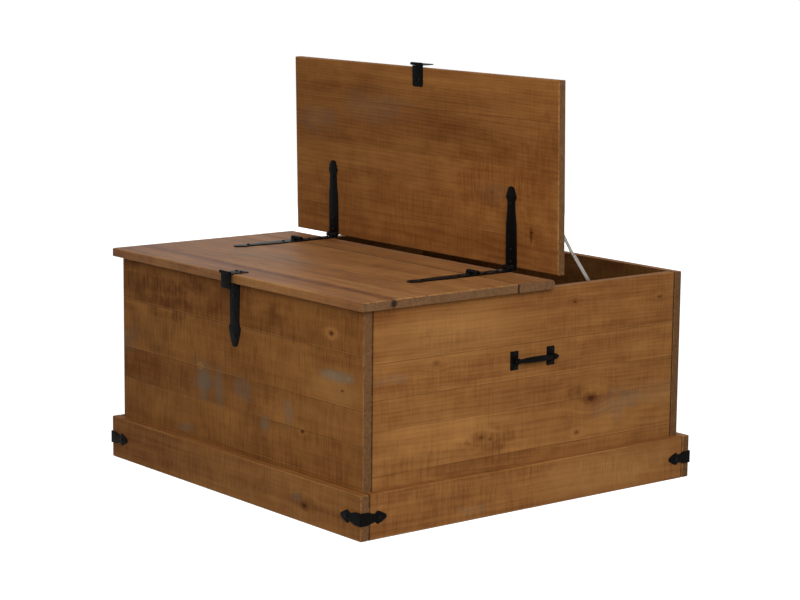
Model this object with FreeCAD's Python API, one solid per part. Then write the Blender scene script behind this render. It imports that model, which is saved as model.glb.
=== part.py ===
import FreeCAD, Part
import math
import os

from FreeCAD import Vector

# A square pine storage trunk with two hinged lids that meet a fixed board along the middle.
# Millimetres, +Z up, origin on the floor under the middle of the box.
# -Y is the front, +X the right end. The front lid is shut and the rear lid stands open.

# Box of edge-glued boards
BOX_LENGTH = 800.0
BOX_DEPTH = 800.0
BODY_HEIGHT = 417.7
PANEL_THICKNESS = 18.0
PANEL_LIFT = 5.0
ARRIS = 0.8

# Plinth around the foot of the box
PLINTH_HEIGHT = 85.0
PLINTH_THICKNESS = 18.0
PLINTH_ARRIS = 1.5

# Bottom, its cleats and the blocks under the centre board
BOTTOM_THICKNESS = 12.0
BOTTOM_UNDERSIDE = 60.0
CLEAT_SIZE = 20.0
CLEAT_END_GAP = 2.0
BLOCK_SIZE = 18.0
BLOCK_LENGTH = 76.0

# Top: centre board and lids
LID_THICKNESS = 17.0
LID_SEAT = 0.3
END_OVERHANG = 15.0
FRONT_OVERHANG = 15.0
CENTRE_BOARD_WIDTH = 91.0
SEAM = 1.5
LID_BEVEL = 1.8
BOARD_REAR_ROUND = 9.0
BOARD_FRONT_BEVEL = 1.2
OPEN_ANGLE = 91.25

# Strap hinges
HINGE_INSET = 117.0
HINGE_AXIS_HEIGHT = 6.0
BARREL_RADIUS = 4.5
HINGE_PIN_RADIUS = 2.2
HINGE_MIDDLE_KNUCKLE = 11.0
KNUCKLE_GAP = 0.4
LEAF_CUTBACK = 0.5
STRAP_THICKNESS = 2.2
STRAP_BEVEL = 0.7
STRAP_WIDTH = 31.0
STRAP_SHOULDER = 29.5
STRAP_SHOULDER_AT = 84.0
STRAP_NECK = 21.5
STRAP_NECK_AT = 127.0
STRAP_FINIAL = 29.5
STRAP_FINIAL_AT = 136.0
STRAP_LENGTH = 158.0
STRAP_TIP = 15.0
STRAP_SCREWS_AT = (11.5, 35.0, 124.0)
BOARD_LEAF_WIDTH = 29.0
BOARD_LEAF_LENGTH = 45.0
BOARD_LEAF_SCREWS_AT = (14.0, 32.0)
TAPER_BOW = -0.02
FLARE_BOW = -0.08
BLADE_BOW = 0.07
TIP_BOW = 0.2
PIN_HEAD_RADIUS = 3.4
PIN_HEAD_LENGTH = 2.2
PIN_NOSE = 0.4

# Hasps on the free edges of the lids
HASP_WIDTH = 32.0
HASP_LEAF_LENGTH = 45.5
HASP_THICKNESS = 1.8
HASP_CORNER_CLIP = 3.0
HASP_AXIS_OUT = 8.0
HASP_AXIS_HEIGHT = 3.0
HASP_BARREL_RADIUS = 3.2
HASP_PIN_RADIUS = 1.6
HASP_FLAP_KNUCKLE = 10.0
FLAP_GAP = 0.5
FLAP_INSET = 0.2
FLAP_THICKNESS = 2.0
FLAP_LENGTH = 31.0
FLAP_CORNER_CLIP = 1.5
HASP_SCREWS_AT = 31.5
HASP_SCREW_SPACING = 15.0

# Spear-ended straps under the hasps
HASP_STRAP_TOP_GAP = 4.0
HASP_STRAP_WIDTH = 33.0
HASP_STRAP_NECK = 29.0
HASP_STRAP_NECK_AT = 72.0
HASP_STRAP_FINIAL = 38.0
HASP_STRAP_FINIAL_AT = 84.0
HASP_STRAP_LENGTH = 122.0
HASP_STRAP_TIP = 15.0
HASP_STRAP_SCREWS_AT = (22.0, 58.0, 100.0)

# Corner brackets on the plinth
BRACKET_HEIGHT = 41.5
BRACKET_THICKNESS = 2.5
BRACKET_ROOT = 24.5
BRACKET_SHOULDER = 24.0
BRACKET_SHOULDER_AT = 16.0
BRACKET_NECK = 15.5
BRACKET_NECK_AT = 30.0
BRACKET_FINIAL = 25.0
BRACKET_FINIAL_AT = 37.0
BRACKET_LENGTH = 58.0
BRACKET_TIP = 6.0
BRACKET_SCREW_AT = 40.0

# Bar handles on the ends
HANDLE_HEIGHT = 287.0
HANDLE_CENTRE = 4.0
HANDLE_SPREAD = 92.0
HANDLE_PLATE_WIDTH = 19.0
HANDLE_PLATE_HEIGHT = 36.0
HANDLE_PLATE_THICKNESS = 2.5
HANDLE_LUG_LENGTH = 13.0
HANDLE_LUG_RADIUS = 7.0
HANDLE_REACH = 14.0
HANDLE_BELLY_RADIUS = 5.8
HANDLE_NECK_RADIUS = 3.2
HANDLE_SHOULDER_RADIUS = 5.2
HANDLE_SHOULDER_AT = 20.0
HANDLE_BALL_RADIUS = 3.9
HANDLE_STEM_RADIUS = 2.4
HANDLE_STEM = 1.5
HANDLE_SCREW_OFFSET = 12.5

# Folding lid stays at the right end
STAY_PLATE_THICKNESS = 1.8
STAY_LINK_THICKNESS = 2.0
STAY_LINK_GAP = 0.3
STAY_UPPER_WIDTH = 6.0
STAY_LOWER_WIDTH = 7.5
STAY_LOWER_EXTRA = 31.5
STAY_ELBOW_SLACK = 3.3
STAY_LID_REACH = 100.0
STAY_LID_DROP = 12.0
STAY_BOX_REACH = 153.75
STAY_BOX_DROP = 45.7
STAY_RIVET_RADIUS = 1.7
STAY_RIVET_HEAD_RADIUS = 3.0
STAY_RIVET_HEAD = 1.2
STAY_EAR_RADIUS = 7.0
STAY_FOOT_LENGTH = 32.0
STAY_FOOT_WIDTH = 20.0
STAY_BOX_PLATE_WIDTH = 16.0
STAY_BOX_SCREWS_AT = (13.0, 27.0)
STAY_BOX_PLATE_TAIL = 35.0

# Screws and fits
SCREW_HEAD_RADIUS = 3.3
SCREW_HEAD_HEIGHT = 2.3
SCREW_HEAD_TOP = 0.55
SCREW_SHANK_RADIUS = 1.6
SCREW_DEPTH = 10.0
PIN_FIT = 0.05
SCREW_FIT = 0.05

# Flats on turned pieces and holes, and short chords in each curve of a forged outline
ROUND_SIDES = 12
HEAD_SIDES = 6
SHANK_SIDES = 6
CURVE_STEPS = 3

# Planes and axes worked out from the sizes above
HALF_LENGTH = BOX_LENGTH / 2
HALF_DEPTH = BOX_DEPTH / 2
LID_UNDERSIDE = BODY_HEIGHT + LID_SEAT
TOP = LID_UNDERSIDE + LID_THICKNESS
LID_LENGTH = BOX_LENGTH + 2 * END_OVERHANG
LID_EDGE = HALF_DEPTH + FRONT_OVERHANG
LID_INNER_EDGE = CENTRE_BOARD_WIDTH / 2 + SEAM
HINGE_Y = CENTRE_BOARD_WIDTH / 2 + SEAM / 2
HINGE_Z = TOP + HINGE_AXIS_HEIGHT
HASP_Y = LID_EDGE + HASP_AXIS_OUT
HASP_Z = TOP + HASP_AXIS_HEIGHT
INNER_END = HALF_LENGTH - PANEL_THICKNESS
INNER_DEPTH = BOX_DEPTH - 2 * PANEL_THICKNESS
STAY_BOX_Y = HINGE_Y + STAY_BOX_REACH
STAY_BOX_Z = BODY_HEIGHT - STAY_BOX_DROP
STAY_LID_Y = HINGE_Y + STAY_LID_REACH
STAY_LID_Z = LID_UNDERSIDE - STAY_LID_DROP

# The stay's pieces lie side by side, counted inwards from the end panel
LOWER_LINK_X = INNER_END - STAY_PLATE_THICKNESS - STAY_LINK_GAP - STAY_LINK_THICKNESS
UPPER_LINK_X = LOWER_LINK_X - STAY_LINK_GAP - STAY_LINK_THICKNESS
LID_EAR_X = UPPER_LINK_X - STAY_LINK_GAP - STAY_PLATE_THICKNESS

X_AXIS = Vector(1, 0, 0)
Y_AXIS = Vector(0, 1, 0)
Z_AXIS = Vector(0, 0, 1)
ORIGIN = Vector(0, 0, 0)
FLATNESS = 1e-7


def box(x, y, z):
    """A block between three (low, high) pairs."""
    corner = Vector(x[0], y[0], z[0])
    return Part.makeBox(x[1] - x[0], y[1] - y[0], z[1] - z[0], corner)


def flat_face(points):
    """A flat face with these corners."""
    return Part.Face(Part.makePolygon(points + [points[0]]))


def skin(rings):
    """A solid with flat faces through rings of corners, from the first ring to the last."""
    faces = [flat_face(rings[0]), flat_face(rings[-1])]
    for low, high in zip(rings, rings[1:]):
        for i in range(len(low)):
            faces.append(flat_face([low[i - 1], low[i], high[i], high[i - 1]]))
    solid = Part.Solid(Part.Shell(faces))
    solid.fixTolerance(FLATNESS)
    if solid.Volume < 0:
        solid.reverse()
    return solid


def ring(centre, axis, radius, sides):
    """The corners of a regular polygon square to an axis, on a circle of that radius."""
    across = Vector(axis.y, axis.z, axis.x)
    aside = axis.cross(across)
    corners = []
    for step in range(sides):
        angle = 2 * math.pi * (step + 0.5) / sides
        corners.append(centre + (across * math.cos(angle) + aside * math.sin(angle)) * radius)
    return corners


def shaft(start, direction, radius, length):
    """A round shaft that other pieces turn on, from start along direction."""
    return Part.makeCylinder(radius, length, start, direction)


def turned(start, direction, profile, sides=ROUND_SIDES):
    """A turned piece with flats, through (distance, radius) pairs along direction."""
    return skin([ring(start + direction * along, direction, radius, sides)
                 for along, radius in profile])


def rod(start, direction, radius, length, sides=ROUND_SIDES):
    """A plain bar from start along direction, inside its radius."""
    return turned(start, direction, [(0, radius), (length, radius)], sides)


def socket(start, direction, radius, length, sides=ROUND_SIDES):
    """The space of a hole around a bar or shaft, outside its radius."""
    return rod(start, direction, radius / math.cos(math.pi / sides), length, sides)


def board(x, y, z, arris):
    """A sawn board with all its edges eased."""
    blank = box(x, y, z)
    return blank.makeChamfer(arris, blank.Edges)


def edges_along(shape, direction, test):
    """The straight edges of a shape that run along direction and pass a test on their middle."""
    found = []
    for edge in shape.Edges:
        if not isinstance(edge.Curve, Part.Line):
            continue
        along = abs(edge.tangentAt(edge.FirstParameter).dot(direction))
        if along > 0.999 and test(edge.CenterOfMass):
            found.append(edge)
    return found


def mirror_front(shape):
    """The same piece on the front half of the trunk."""
    return shape.mirror(ORIGIN, Y_AXIS)


def mirror_left(shape):
    """The same piece on the left half of the trunk."""
    return shape.mirror(ORIGIN, X_AXIS)


def swing_open(shape):
    """A piece of the shut rear lid, swung up with the lid to where it stands open."""
    opened = shape.copy()
    opened.rotate(Vector(0, HINGE_Y, HINGE_Z), X_AXIS, OPEN_ANGLE)
    return opened


def as_group(solids):
    """Separate solids kept together in one node."""
    if len(solids) == 1:
        return solids[0]
    return Part.makeCompound(solids)


# Screws -----------------------------------------------------------------------------------------

def screw(seat, inward, plate):
    """A low-domed wood screw whose head sits at seat, on a plate of the given thickness."""
    head = turned(seat, inward * -1, [(0, SCREW_HEAD_RADIUS),
                                      (SCREW_HEAD_HEIGHT, SCREW_HEAD_RADIUS * SCREW_HEAD_TOP)],
                  HEAD_SIDES)
    return head.fuse(rod(seat, inward, SCREW_SHANK_RADIUS, plate + SCREW_DEPTH, SHANK_SIDES))


def screw_hole(seat, inward, plate):
    """The hole that a screw's shank fills, through its plate and into the wood."""
    depth = plate + SCREW_DEPTH + SCREW_FIT
    return socket(seat, inward, SCREW_SHANK_RADIUS + SCREW_FIT, depth, SHANK_SIDES)


class Fixing:
    """Screws through one plate, and the holes that they need."""

    def __init__(self, seats, inward, plate):
        self.screws = [screw(seat, inward, plate) for seat in seats]
        self.holes = [screw_hole(seat, inward, plate) for seat in seats]

    def drill(self, shape):
        """A shape with this fixing's holes in it."""
        return shape.cut(self.holes)


# Ironwork outlines ------------------------------------------------------------------------------

def bowed(start, end, bow):
    """Points from start almost to end, on an arc to the right of its chord by a share of it."""
    chord = end - start
    middle = (start + end) * 0.5
    outward = Vector(chord.y, -chord.x, 0)
    sweep = 4 * math.atan(2 * bow)
    centre = middle - outward * (0.5 / math.tan(sweep / 2))
    spoke = start - centre
    points = []
    for step in range(CURVE_STEPS):
        angle = sweep * step / CURVE_STEPS
        turn = FreeCAD.Rotation(Z_AXIS, math.degrees(angle))
        points.append(centre + turn.multVec(spoke))
    return points


def inset(points, distance):
    """A flat outline in the XY plane, counter-clockwise, drawn in by a distance all round."""
    drawn_in = []
    for i, point in enumerate(points):
        before = (point - points[i - 1]).normalize()
        after = (points[(i + 1) % len(points)] - point).normalize()
        sides = [Vector(-before.y, before.x, 0), Vector(-after.y, after.x, 0)]
        share = distance / (1 + sides[0].dot(sides[1]))
        drawn_in.append(point + (sides[0] + sides[1]) * share)
    return drawn_in


def lifted(points, height):
    """The same points, higher up."""
    return [point + Z_AXIS * height for point in points]


class Spear:
    """The outline of a spear-ended strap that runs along +Y, from its root to its tip."""

    def __init__(self, start, root, neck, finial, length, tip, shoulder=None):
        """root and tip are widths; neck, finial and shoulder are (width, distance) pairs."""
        self.start = start
        self.root = root
        self.neck = neck
        self.finial = finial
        self.length = length
        self.tip = tip
        self.shoulder = shoulder

    def side(self):
        """The points of the right-hand side, from the root to where the rounded tip begins."""
        root = Vector(self.root / 2, self.start, 0)
        neck = Vector(self.neck[0] / 2, self.neck[1], 0)
        finial = Vector(self.finial[0] / 2, self.finial[1], 0)
        tip = Vector(self.tip / 2, self.length - self.tip * TIP_BOW, 0)
        head = bowed(neck, finial, FLARE_BOW) + bowed(finial, tip, BLADE_BOW) + [tip]
        if self.shoulder is None:
            return [root] + head
        shoulder = Vector(self.shoulder[0] / 2, self.shoulder[1], 0)
        return [root] + bowed(shoulder, neck, TAPER_BOW) + head

    def outline(self):
        """The corners of the whole outline in the XY plane, counter-clockwise."""
        right = self.side()
        left = [Vector(-point.x, point.y, 0) for point in reversed(right)]
        return right + bowed(right[-1], left[0], TIP_BOW)[1:] + left


def bevelled_plate(outline, thickness, bevel):
    """A flat outline given its thickness along +Z, with its top edge bevelled all round."""
    return skin([outline, lifted(outline, thickness - bevel),
                 lifted(inset(outline, bevel), thickness)])


# Box --------------------------------------------------------------------------------------------

def build_box():
    """The four panels, the bottom on its cleats, the centre board and the plinth."""
    full_x = (-HALF_LENGTH, HALF_LENGTH)
    rear_y = (HALF_DEPTH - PANEL_THICKNESS, HALF_DEPTH)
    body_z = (PANEL_LIFT, BODY_HEIGHT)
    rear = board(full_x, rear_y, body_z, ARRIS)
    end_x = (INNER_END, HALF_LENGTH)
    inner_y = (-INNER_DEPTH / 2, INNER_DEPTH / 2)
    right = board(end_x, inner_y, body_z, ARRIS)

    bottom_z = (BOTTOM_UNDERSIDE, BOTTOM_UNDERSIDE + BOTTOM_THICKNESS)
    bottom = box((-INNER_END, INNER_END), inner_y, bottom_z)
    cleat_z = (BOTTOM_UNDERSIDE - CLEAT_SIZE, BOTTOM_UNDERSIDE)
    long_cleat = box((-INNER_END, INNER_END), (INNER_DEPTH / 2 - CLEAT_SIZE, INNER_DEPTH / 2),
                     cleat_z)
    short_half = INNER_DEPTH / 2 - CLEAT_SIZE - CLEAT_END_GAP
    short_cleat = box((INNER_END - CLEAT_SIZE, INNER_END), (-short_half, short_half), cleat_z)
    cleats = [long_cleat, mirror_front(long_cleat), short_cleat, mirror_left(short_cleat)]

    block = box((INNER_END - BLOCK_SIZE, INNER_END), (-BLOCK_LENGTH / 2, BLOCK_LENGTH / 2),
                (BODY_HEIGHT - BLOCK_SIZE, BODY_HEIGHT))

    plinth_out = PLINTH_THICKNESS
    plinth_z = (0.0, PLINTH_HEIGHT)
    rear_plinth = board((-HALF_LENGTH - plinth_out, HALF_LENGTH + plinth_out),
                        (HALF_DEPTH, HALF_DEPTH + plinth_out), plinth_z, PLINTH_ARRIS)
    right_plinth = board((HALF_LENGTH, HALF_LENGTH + plinth_out), (-HALF_DEPTH, HALF_DEPTH),
                         plinth_z, PLINTH_ARRIS)
    return {"rear_panel": rear, "front_panel": mirror_front(rear),
            "right_panel": right, "left_panel": mirror_left(right),
            "bottom_panel": bottom, "bottom_cleats": as_group(cleats),
            "centre_board": build_centre_board(),
            "centre_board_blocks": as_group([block, mirror_left(block)]),
            "rear_plinth": rear_plinth, "front_plinth": mirror_front(rear_plinth),
            "right_plinth": right_plinth, "left_plinth": mirror_left(right_plinth)}


def build_centre_board():
    """The fixed board between the lids, glued down on the end panels, with a rounded rear edge."""
    half = CENTRE_BOARD_WIDTH / 2
    blank = box((-LID_LENGTH / 2, LID_LENGTH / 2), (-half, half), (BODY_HEIGHT, TOP))
    rear = edges_along(blank, X_AXIS, lambda m: m.z > TOP - ARRIS and m.y > 0)
    rounded = blank.makeFillet(BOARD_REAR_ROUND, rear)
    front = edges_along(rounded, X_AXIS, lambda m: m.z > TOP - ARRIS and m.y < ARRIS - half)
    eased = rounded.makeChamfer(BOARD_FRONT_BEVEL, front)
    low_edges = edges_along(eased, X_AXIS, lambda m: m.z < BODY_HEIGHT + ARRIS)
    return eased.makeChamfer(ARRIS, low_edges)


def build_lid_board():
    """The rear lid's board, shut: bevelled top edges, eased lower edges."""
    blank = box((-LID_LENGTH / 2, LID_LENGTH / 2), (LID_INNER_EDGE, LID_EDGE),
                (LID_UNDERSIDE, TOP))
    top_edges = edges_along(blank, X_AXIS, lambda m: m.z > TOP - ARRIS)
    top_edges += edges_along(blank, Y_AXIS, lambda m: m.z > TOP - ARRIS)
    bevelled = blank.makeChamfer(LID_BEVEL, top_edges)
    low_edges = edges_along(bevelled, X_AXIS, lambda m: m.z < LID_UNDERSIDE + ARRIS)
    low_edges += edges_along(bevelled, Y_AXIS, lambda m: m.z < LID_UNDERSIDE + ARRIS)
    return bevelled.makeChamfer(ARRIS, low_edges)


# Strap hinges -----------------------------------------------------------------------------------

def knuckle(centre_y, centre_z, x, outer, pin):
    """One knuckle of a hinge barrel along X, and the hole in it for a pin of that radius."""
    start = Vector(x[0], centre_y, centre_z)
    length = x[1] - x[0]
    return rod(start, X_AXIS, outer, length), socket(start, X_AXIS, pin + PIN_FIT, length)


def knuckle_spans(width, middle):
    """The X spans of the two outer knuckles and the middle one, about zero."""
    half = width / 2
    inner = middle / 2
    outer_spans = [(-half, -inner - KNUCKLE_GAP), (inner + KNUCKLE_GAP, half)]
    return outer_spans, (-inner, inner)


def knuckle_tab(x, outward):
    """The metal that rises from a leaf into its knuckle; outward is +1 for the strap's side."""
    reach = (BARREL_RADIUS + LEAF_CUTBACK) * outward
    side = BARREL_RADIUS * outward
    profile = [Vector(x[0], HINGE_Y, TOP),
               Vector(x[0], HINGE_Y + reach, TOP),
               Vector(x[0], HINGE_Y + reach, TOP + STRAP_THICKNESS),
               Vector(x[0], HINGE_Y + side, HINGE_Z),
               Vector(x[0], HINGE_Y, HINGE_Z)]
    return flat_face(profile).extrude(X_AXIS * (x[1] - x[0]))


def add_knuckles(plate, spans, outward):
    """A leaf's plate with knuckles on it, bored for the pin."""
    pieces = []
    holes = []
    for x in spans:
        barrel, hole = knuckle(HINGE_Y, HINGE_Z, x, BARREL_RADIUS, HINGE_PIN_RADIUS)
        pieces += [barrel, knuckle_tab(x, outward)]
        holes.append(hole)
    return plate.fuse(pieces).removeSplitter().cut(holes)


def build_strap(hinge_x):
    """A long hinge strap on the rear lid, with the two outer knuckles."""
    outline = Spear(BARREL_RADIUS + LEAF_CUTBACK - STRAP_BEVEL, STRAP_WIDTH,
                    (STRAP_NECK, STRAP_NECK_AT), (STRAP_FINIAL, STRAP_FINIAL_AT), STRAP_LENGTH,
                    STRAP_TIP, (STRAP_SHOULDER, STRAP_SHOULDER_AT))
    plate = bevelled_plate(outline.outline(), STRAP_THICKNESS, STRAP_BEVEL)
    plate.translate(Vector(hinge_x, HINGE_Y, TOP))
    outer_spans, _ = knuckle_spans(STRAP_WIDTH, HINGE_MIDDLE_KNUCKLE)
    spans = [(hinge_x + low, hinge_x + high) for low, high in outer_spans]
    return add_knuckles(plate, spans, 1)


def build_board_leaf(hinge_x):
    """The short leaf on the rear side of the centre board, with the middle knuckle."""
    half = BOARD_LEAF_WIDTH / 2
    near = HINGE_Y - BARREL_RADIUS - LEAF_CUTBACK
    far = HINGE_Y - BOARD_LEAF_LENGTH
    plate = box((hinge_x - half, hinge_x + half), (far, near), (TOP, TOP + STRAP_THICKNESS))
    rim = edges_along(plate, X_AXIS, lambda m: m.z > TOP + STRAP_BEVEL and m.y < near - STRAP_BEVEL)
    rim += edges_along(plate, Y_AXIS, lambda m: m.z > TOP + STRAP_BEVEL)
    plate = plate.makeChamfer(STRAP_BEVEL, rim)
    _, middle = knuckle_spans(STRAP_WIDTH, HINGE_MIDDLE_KNUCKLE)
    return add_knuckles(plate, [(hinge_x + middle[0], hinge_x + middle[1])], -1)


def build_pin(centre_y, centre_z, x, radius, head_radius):
    """A hinge pin along X with a round-nosed head outside the barrel on its left."""
    seat = Vector(x[0] - KNUCKLE_GAP, centre_y, centre_z)
    body = shaft(seat, X_AXIS, radius, x[1] - seat.x)
    nose = head_radius * PIN_NOSE
    head = turned(seat, X_AXIS * -1, [(0, head_radius), (PIN_HEAD_LENGTH - nose, head_radius),
                                      (PIN_HEAD_LENGTH, head_radius - nose)])
    return body.fuse(head)


# Hasps ------------------------------------------------------------------------------------------

def build_hasp_leaf():
    """The fixed leaf on top of the rear lid's free edge, with the right-hand knuckle."""
    half = HASP_WIDTH / 2
    split = -half + HASP_FLAP_KNUCKLE
    near = HASP_Y - HASP_BARREL_RADIUS - FLAP_GAP
    far = HASP_Y - HASP_LEAF_LENGTH
    leaf_z = (TOP, TOP + HASP_THICKNESS)
    plate = box((-half, half), (far, near), leaf_z)
    corners = edges_along(plate, Z_AXIS, lambda m: m.y < far + HASP_CORNER_CLIP)
    plate = plate.makeChamfer(HASP_CORNER_CLIP, corners)
    x = (split + KNUCKLE_GAP, half)
    barrel, hole = knuckle(HASP_Y, HASP_Z, x, HASP_BARREL_RADIUS, HASP_PIN_RADIUS)
    tab = box(x, (near, HASP_Y), leaf_z)
    return plate.fuse([barrel, tab]).removeSplitter().cut(hole)


def build_hasp_flap():
    """The swinging flap that hangs over the rear lid's edge, with the left-hand knuckle."""
    half = HASP_WIDTH / 2
    split = -half + HASP_FLAP_KNUCKLE
    inner = HASP_Y - HASP_BARREL_RADIUS + FLAP_INSET
    plate_y = (inner, inner + FLAP_THICKNESS)
    plate_top = HASP_Z - HASP_BARREL_RADIUS - FLAP_GAP
    plate = box((-half, half), plate_y, (HASP_Z - FLAP_LENGTH, plate_top))
    corners = edges_along(plate, Y_AXIS, lambda m: m.z < plate_top - FLAP_CORNER_CLIP)
    plate = plate.makeChamfer(FLAP_CORNER_CLIP, corners)
    x = (-half, split)
    barrel, hole = knuckle(HASP_Y, HASP_Z, x, HASP_BARREL_RADIUS, HASP_PIN_RADIUS)
    tab = box(x, plate_y, (plate_top, HASP_Z))
    return plate.fuse([barrel, tab]).removeSplitter().cut(hole)


def build_hasp_strap():
    """The spear-ended strap on the rear panel below the hasp."""
    outline = Spear(0.0, HASP_STRAP_WIDTH, (HASP_STRAP_NECK, HASP_STRAP_NECK_AT),
                    (HASP_STRAP_FINIAL, HASP_STRAP_FINIAL_AT), HASP_STRAP_LENGTH, HASP_STRAP_TIP)
    plate = bevelled_plate(outline.outline(), STRAP_THICKNESS, STRAP_BEVEL)
    plate.rotate(ORIGIN, X_AXIS, -90)
    plate.translate(Vector(0, HALF_DEPTH, BODY_HEIGHT - HASP_STRAP_TOP_GAP))
    return plate


# Corner brackets --------------------------------------------------------------------------------

def build_corner_bracket():
    """A forged bracket folded around the rear right corner of the plinth."""
    outline = Spear(-STRAP_BEVEL, BRACKET_ROOT, (BRACKET_NECK, BRACKET_NECK_AT),
                    (BRACKET_FINIAL, BRACKET_FINIAL_AT), BRACKET_LENGTH, BRACKET_TIP,
                    (BRACKET_SHOULDER, BRACKET_SHOULDER_AT))
    wing = bevelled_plate(outline.outline(), BRACKET_THICKNESS, STRAP_BEVEL)
    wing.rotate(ORIGIN, Z_AXIS, 90)
    wing.rotate(ORIGIN, X_AXIS, -90)
    corner_x = HALF_LENGTH + PLINTH_THICKNESS
    corner_y = HALF_DEPTH + PLINTH_THICKNESS
    rear_wing = wing.copy()
    rear_wing.translate(Vector(corner_x, corner_y, BRACKET_HEIGHT))
    side_wing = wing.copy()
    side_wing.rotate(ORIGIN, Z_AXIS, 90)
    side_wing = side_wing.mirror(ORIGIN, X_AXIS)
    side_wing.translate(Vector(corner_x, corner_y, BRACKET_HEIGHT))
    half = BRACKET_ROOT / 2
    fold = box((corner_x, corner_x + BRACKET_THICKNESS), (corner_y, corner_y + BRACKET_THICKNESS),
               (BRACKET_HEIGHT - half, BRACKET_HEIGHT + half))
    outer = edges_along(fold, Z_AXIS, lambda m: m.x > corner_x + ARRIS and m.y > corner_y + ARRIS)
    fold = fold.makeChamfer(BRACKET_THICKNESS / 2, outer)
    return rear_wing.fuse([side_wing, fold]).removeSplitter()


# Handles ----------------------------------------------------------------------------------------

def build_handle_plate(y):
    """One upright plate of the right-hand handle, with the lug that carries the bar."""
    half_w = HANDLE_PLATE_WIDTH / 2
    half_h = HANDLE_PLATE_HEIGHT / 2
    front = HALF_LENGTH + HANDLE_PLATE_THICKNESS
    plate = box((HALF_LENGTH, front), (y - half_w, y + half_w),
                (HANDLE_HEIGHT - half_h, HANDLE_HEIGHT + half_h))
    rim = edges_along(plate, Y_AXIS, lambda m: m.x > front - STRAP_BEVEL)
    rim += edges_along(plate, Z_AXIS, lambda m: m.x > front - STRAP_BEVEL)
    plate = plate.makeChamfer(STRAP_BEVEL, rim)
    start = Vector(HALF_LENGTH + HANDLE_REACH, y - HANDLE_LUG_LENGTH / 2, HANDLE_HEIGHT)
    nose = rod(start, Y_AXIS, HANDLE_LUG_RADIUS, HANDLE_LUG_LENGTH)
    arm = box((HALF_LENGTH, start.x), (start.y, start.y + HANDLE_LUG_LENGTH),
              (HANDLE_HEIGHT - HANDLE_LUG_RADIUS, HANDLE_HEIGHT + HANDLE_LUG_RADIUS))
    hole = socket(start, Y_AXIS, HANDLE_NECK_RADIUS + PIN_FIT, HANDLE_LUG_LENGTH)
    return plate.fuse([nose, arm]).removeSplitter().cut(hole)


def build_handle_bar():
    """The right-hand bar: a grip that swells to its middle, necks in the lugs, ball ends."""
    lug_inner = HANDLE_SPREAD / 2 - HANDLE_LUG_LENGTH / 2 - PIN_FIT
    lug_outer = HANDLE_SPREAD / 2 + HANDLE_LUG_LENGTH / 2 + PIN_FIT
    ball = lug_outer + HANDLE_STEM + HANDLE_BALL_RADIUS
    cap = HANDLE_BALL_RADIUS * math.sqrt(0.5)
    half = [(HANDLE_SHOULDER_AT, HANDLE_SHOULDER_RADIUS),
            (lug_inner, HANDLE_NECK_RADIUS),
            (lug_outer, HANDLE_NECK_RADIUS),
            (lug_outer + HANDLE_STEM, HANDLE_STEM_RADIUS),
            (ball - cap, cap),
            (ball, HANDLE_BALL_RADIUS),
            (ball + cap, cap),
            (ball + HANDLE_BALL_RADIUS, HANDLE_BALL_RADIUS / 3)]
    other_half = [(-along, radius) for along, radius in reversed(half)]
    middle = Vector(HALF_LENGTH + HANDLE_REACH, HANDLE_CENTRE, HANDLE_HEIGHT)
    return turned(middle, Y_AXIS, other_half + [(0, HANDLE_BELLY_RADIUS)] + half)


# Lid stays --------------------------------------------------------------------------------------

def open_elbow(lid_pivot, box_pivot):
    """Where the two links of a nearly straight stay meet, with the lid standing open."""
    span = box_pivot - lid_pivot
    along = (span.Length - STAY_LOWER_EXTRA) / 2
    direction = span * (1 / span.Length)
    sideways = Vector(0, direction.z, -direction.y)
    return lid_pivot + direction * along + sideways * STAY_ELBOW_SLACK


def folded_elbow(lid_pivot, box_pivot, upper_length, lower_length):
    """Where two links of known lengths meet on the hinge side of their pivots."""
    span = box_pivot - lid_pivot
    reach = span.Length
    along = (upper_length ** 2 - lower_length ** 2 + reach ** 2) / (2 * reach)
    aside = math.sqrt(upper_length ** 2 - along ** 2)
    direction = span * (1 / reach)
    sideways = Vector(0, direction.z, -direction.y)
    return lid_pivot + direction * along + sideways * aside


def build_link(pivot, elbow, width, x):
    """A flat round-ended link between two points of the YZ plane, bored at its pivot."""
    half = width / 2
    length = (elbow - pivot).Length
    bar = box((x, x + STAY_LINK_THICKNESS), (0, length), (-half, half))
    ends = [rod(Vector(x, y, 0), X_AXIS, half, STAY_LINK_THICKNESS) for y in (0, length)]
    link = bar.fuse(ends).removeSplitter()
    link = link.cut(socket(Vector(x, 0, 0), X_AXIS, STAY_RIVET_RADIUS + PIN_FIT,
                           STAY_LINK_THICKNESS))
    angle = math.degrees(math.atan2(elbow.z - pivot.z, elbow.y - pivot.y))
    link.rotate(ORIGIN, X_AXIS, angle)
    link.translate(Vector(0, pivot.y, pivot.z))
    return link


def rivet_head(x, y, z, outward):
    """A low-domed rivet head that stands out from x; outward is +1 towards +X."""
    return turned(Vector(x, y, z), X_AXIS * outward,
                  [(0, STAY_RIVET_HEAD_RADIUS), (STAY_RIVET_HEAD, STAY_RIVET_HEAD_RADIUS / 2)])


def build_rivet(x, y, z, heads):
    """A rivet between two X values, with a head at each end that heads asks for."""
    body = shaft(Vector(x[0], y, z), X_AXIS, STAY_RIVET_RADIUS, x[1] - x[0])
    ends = [rivet_head(x[0], y, z, -1), rivet_head(x[1], y, z, 1)]
    wanted = [end for end, asked in zip(ends, heads) if asked]
    return body.fuse(wanted)


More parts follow.
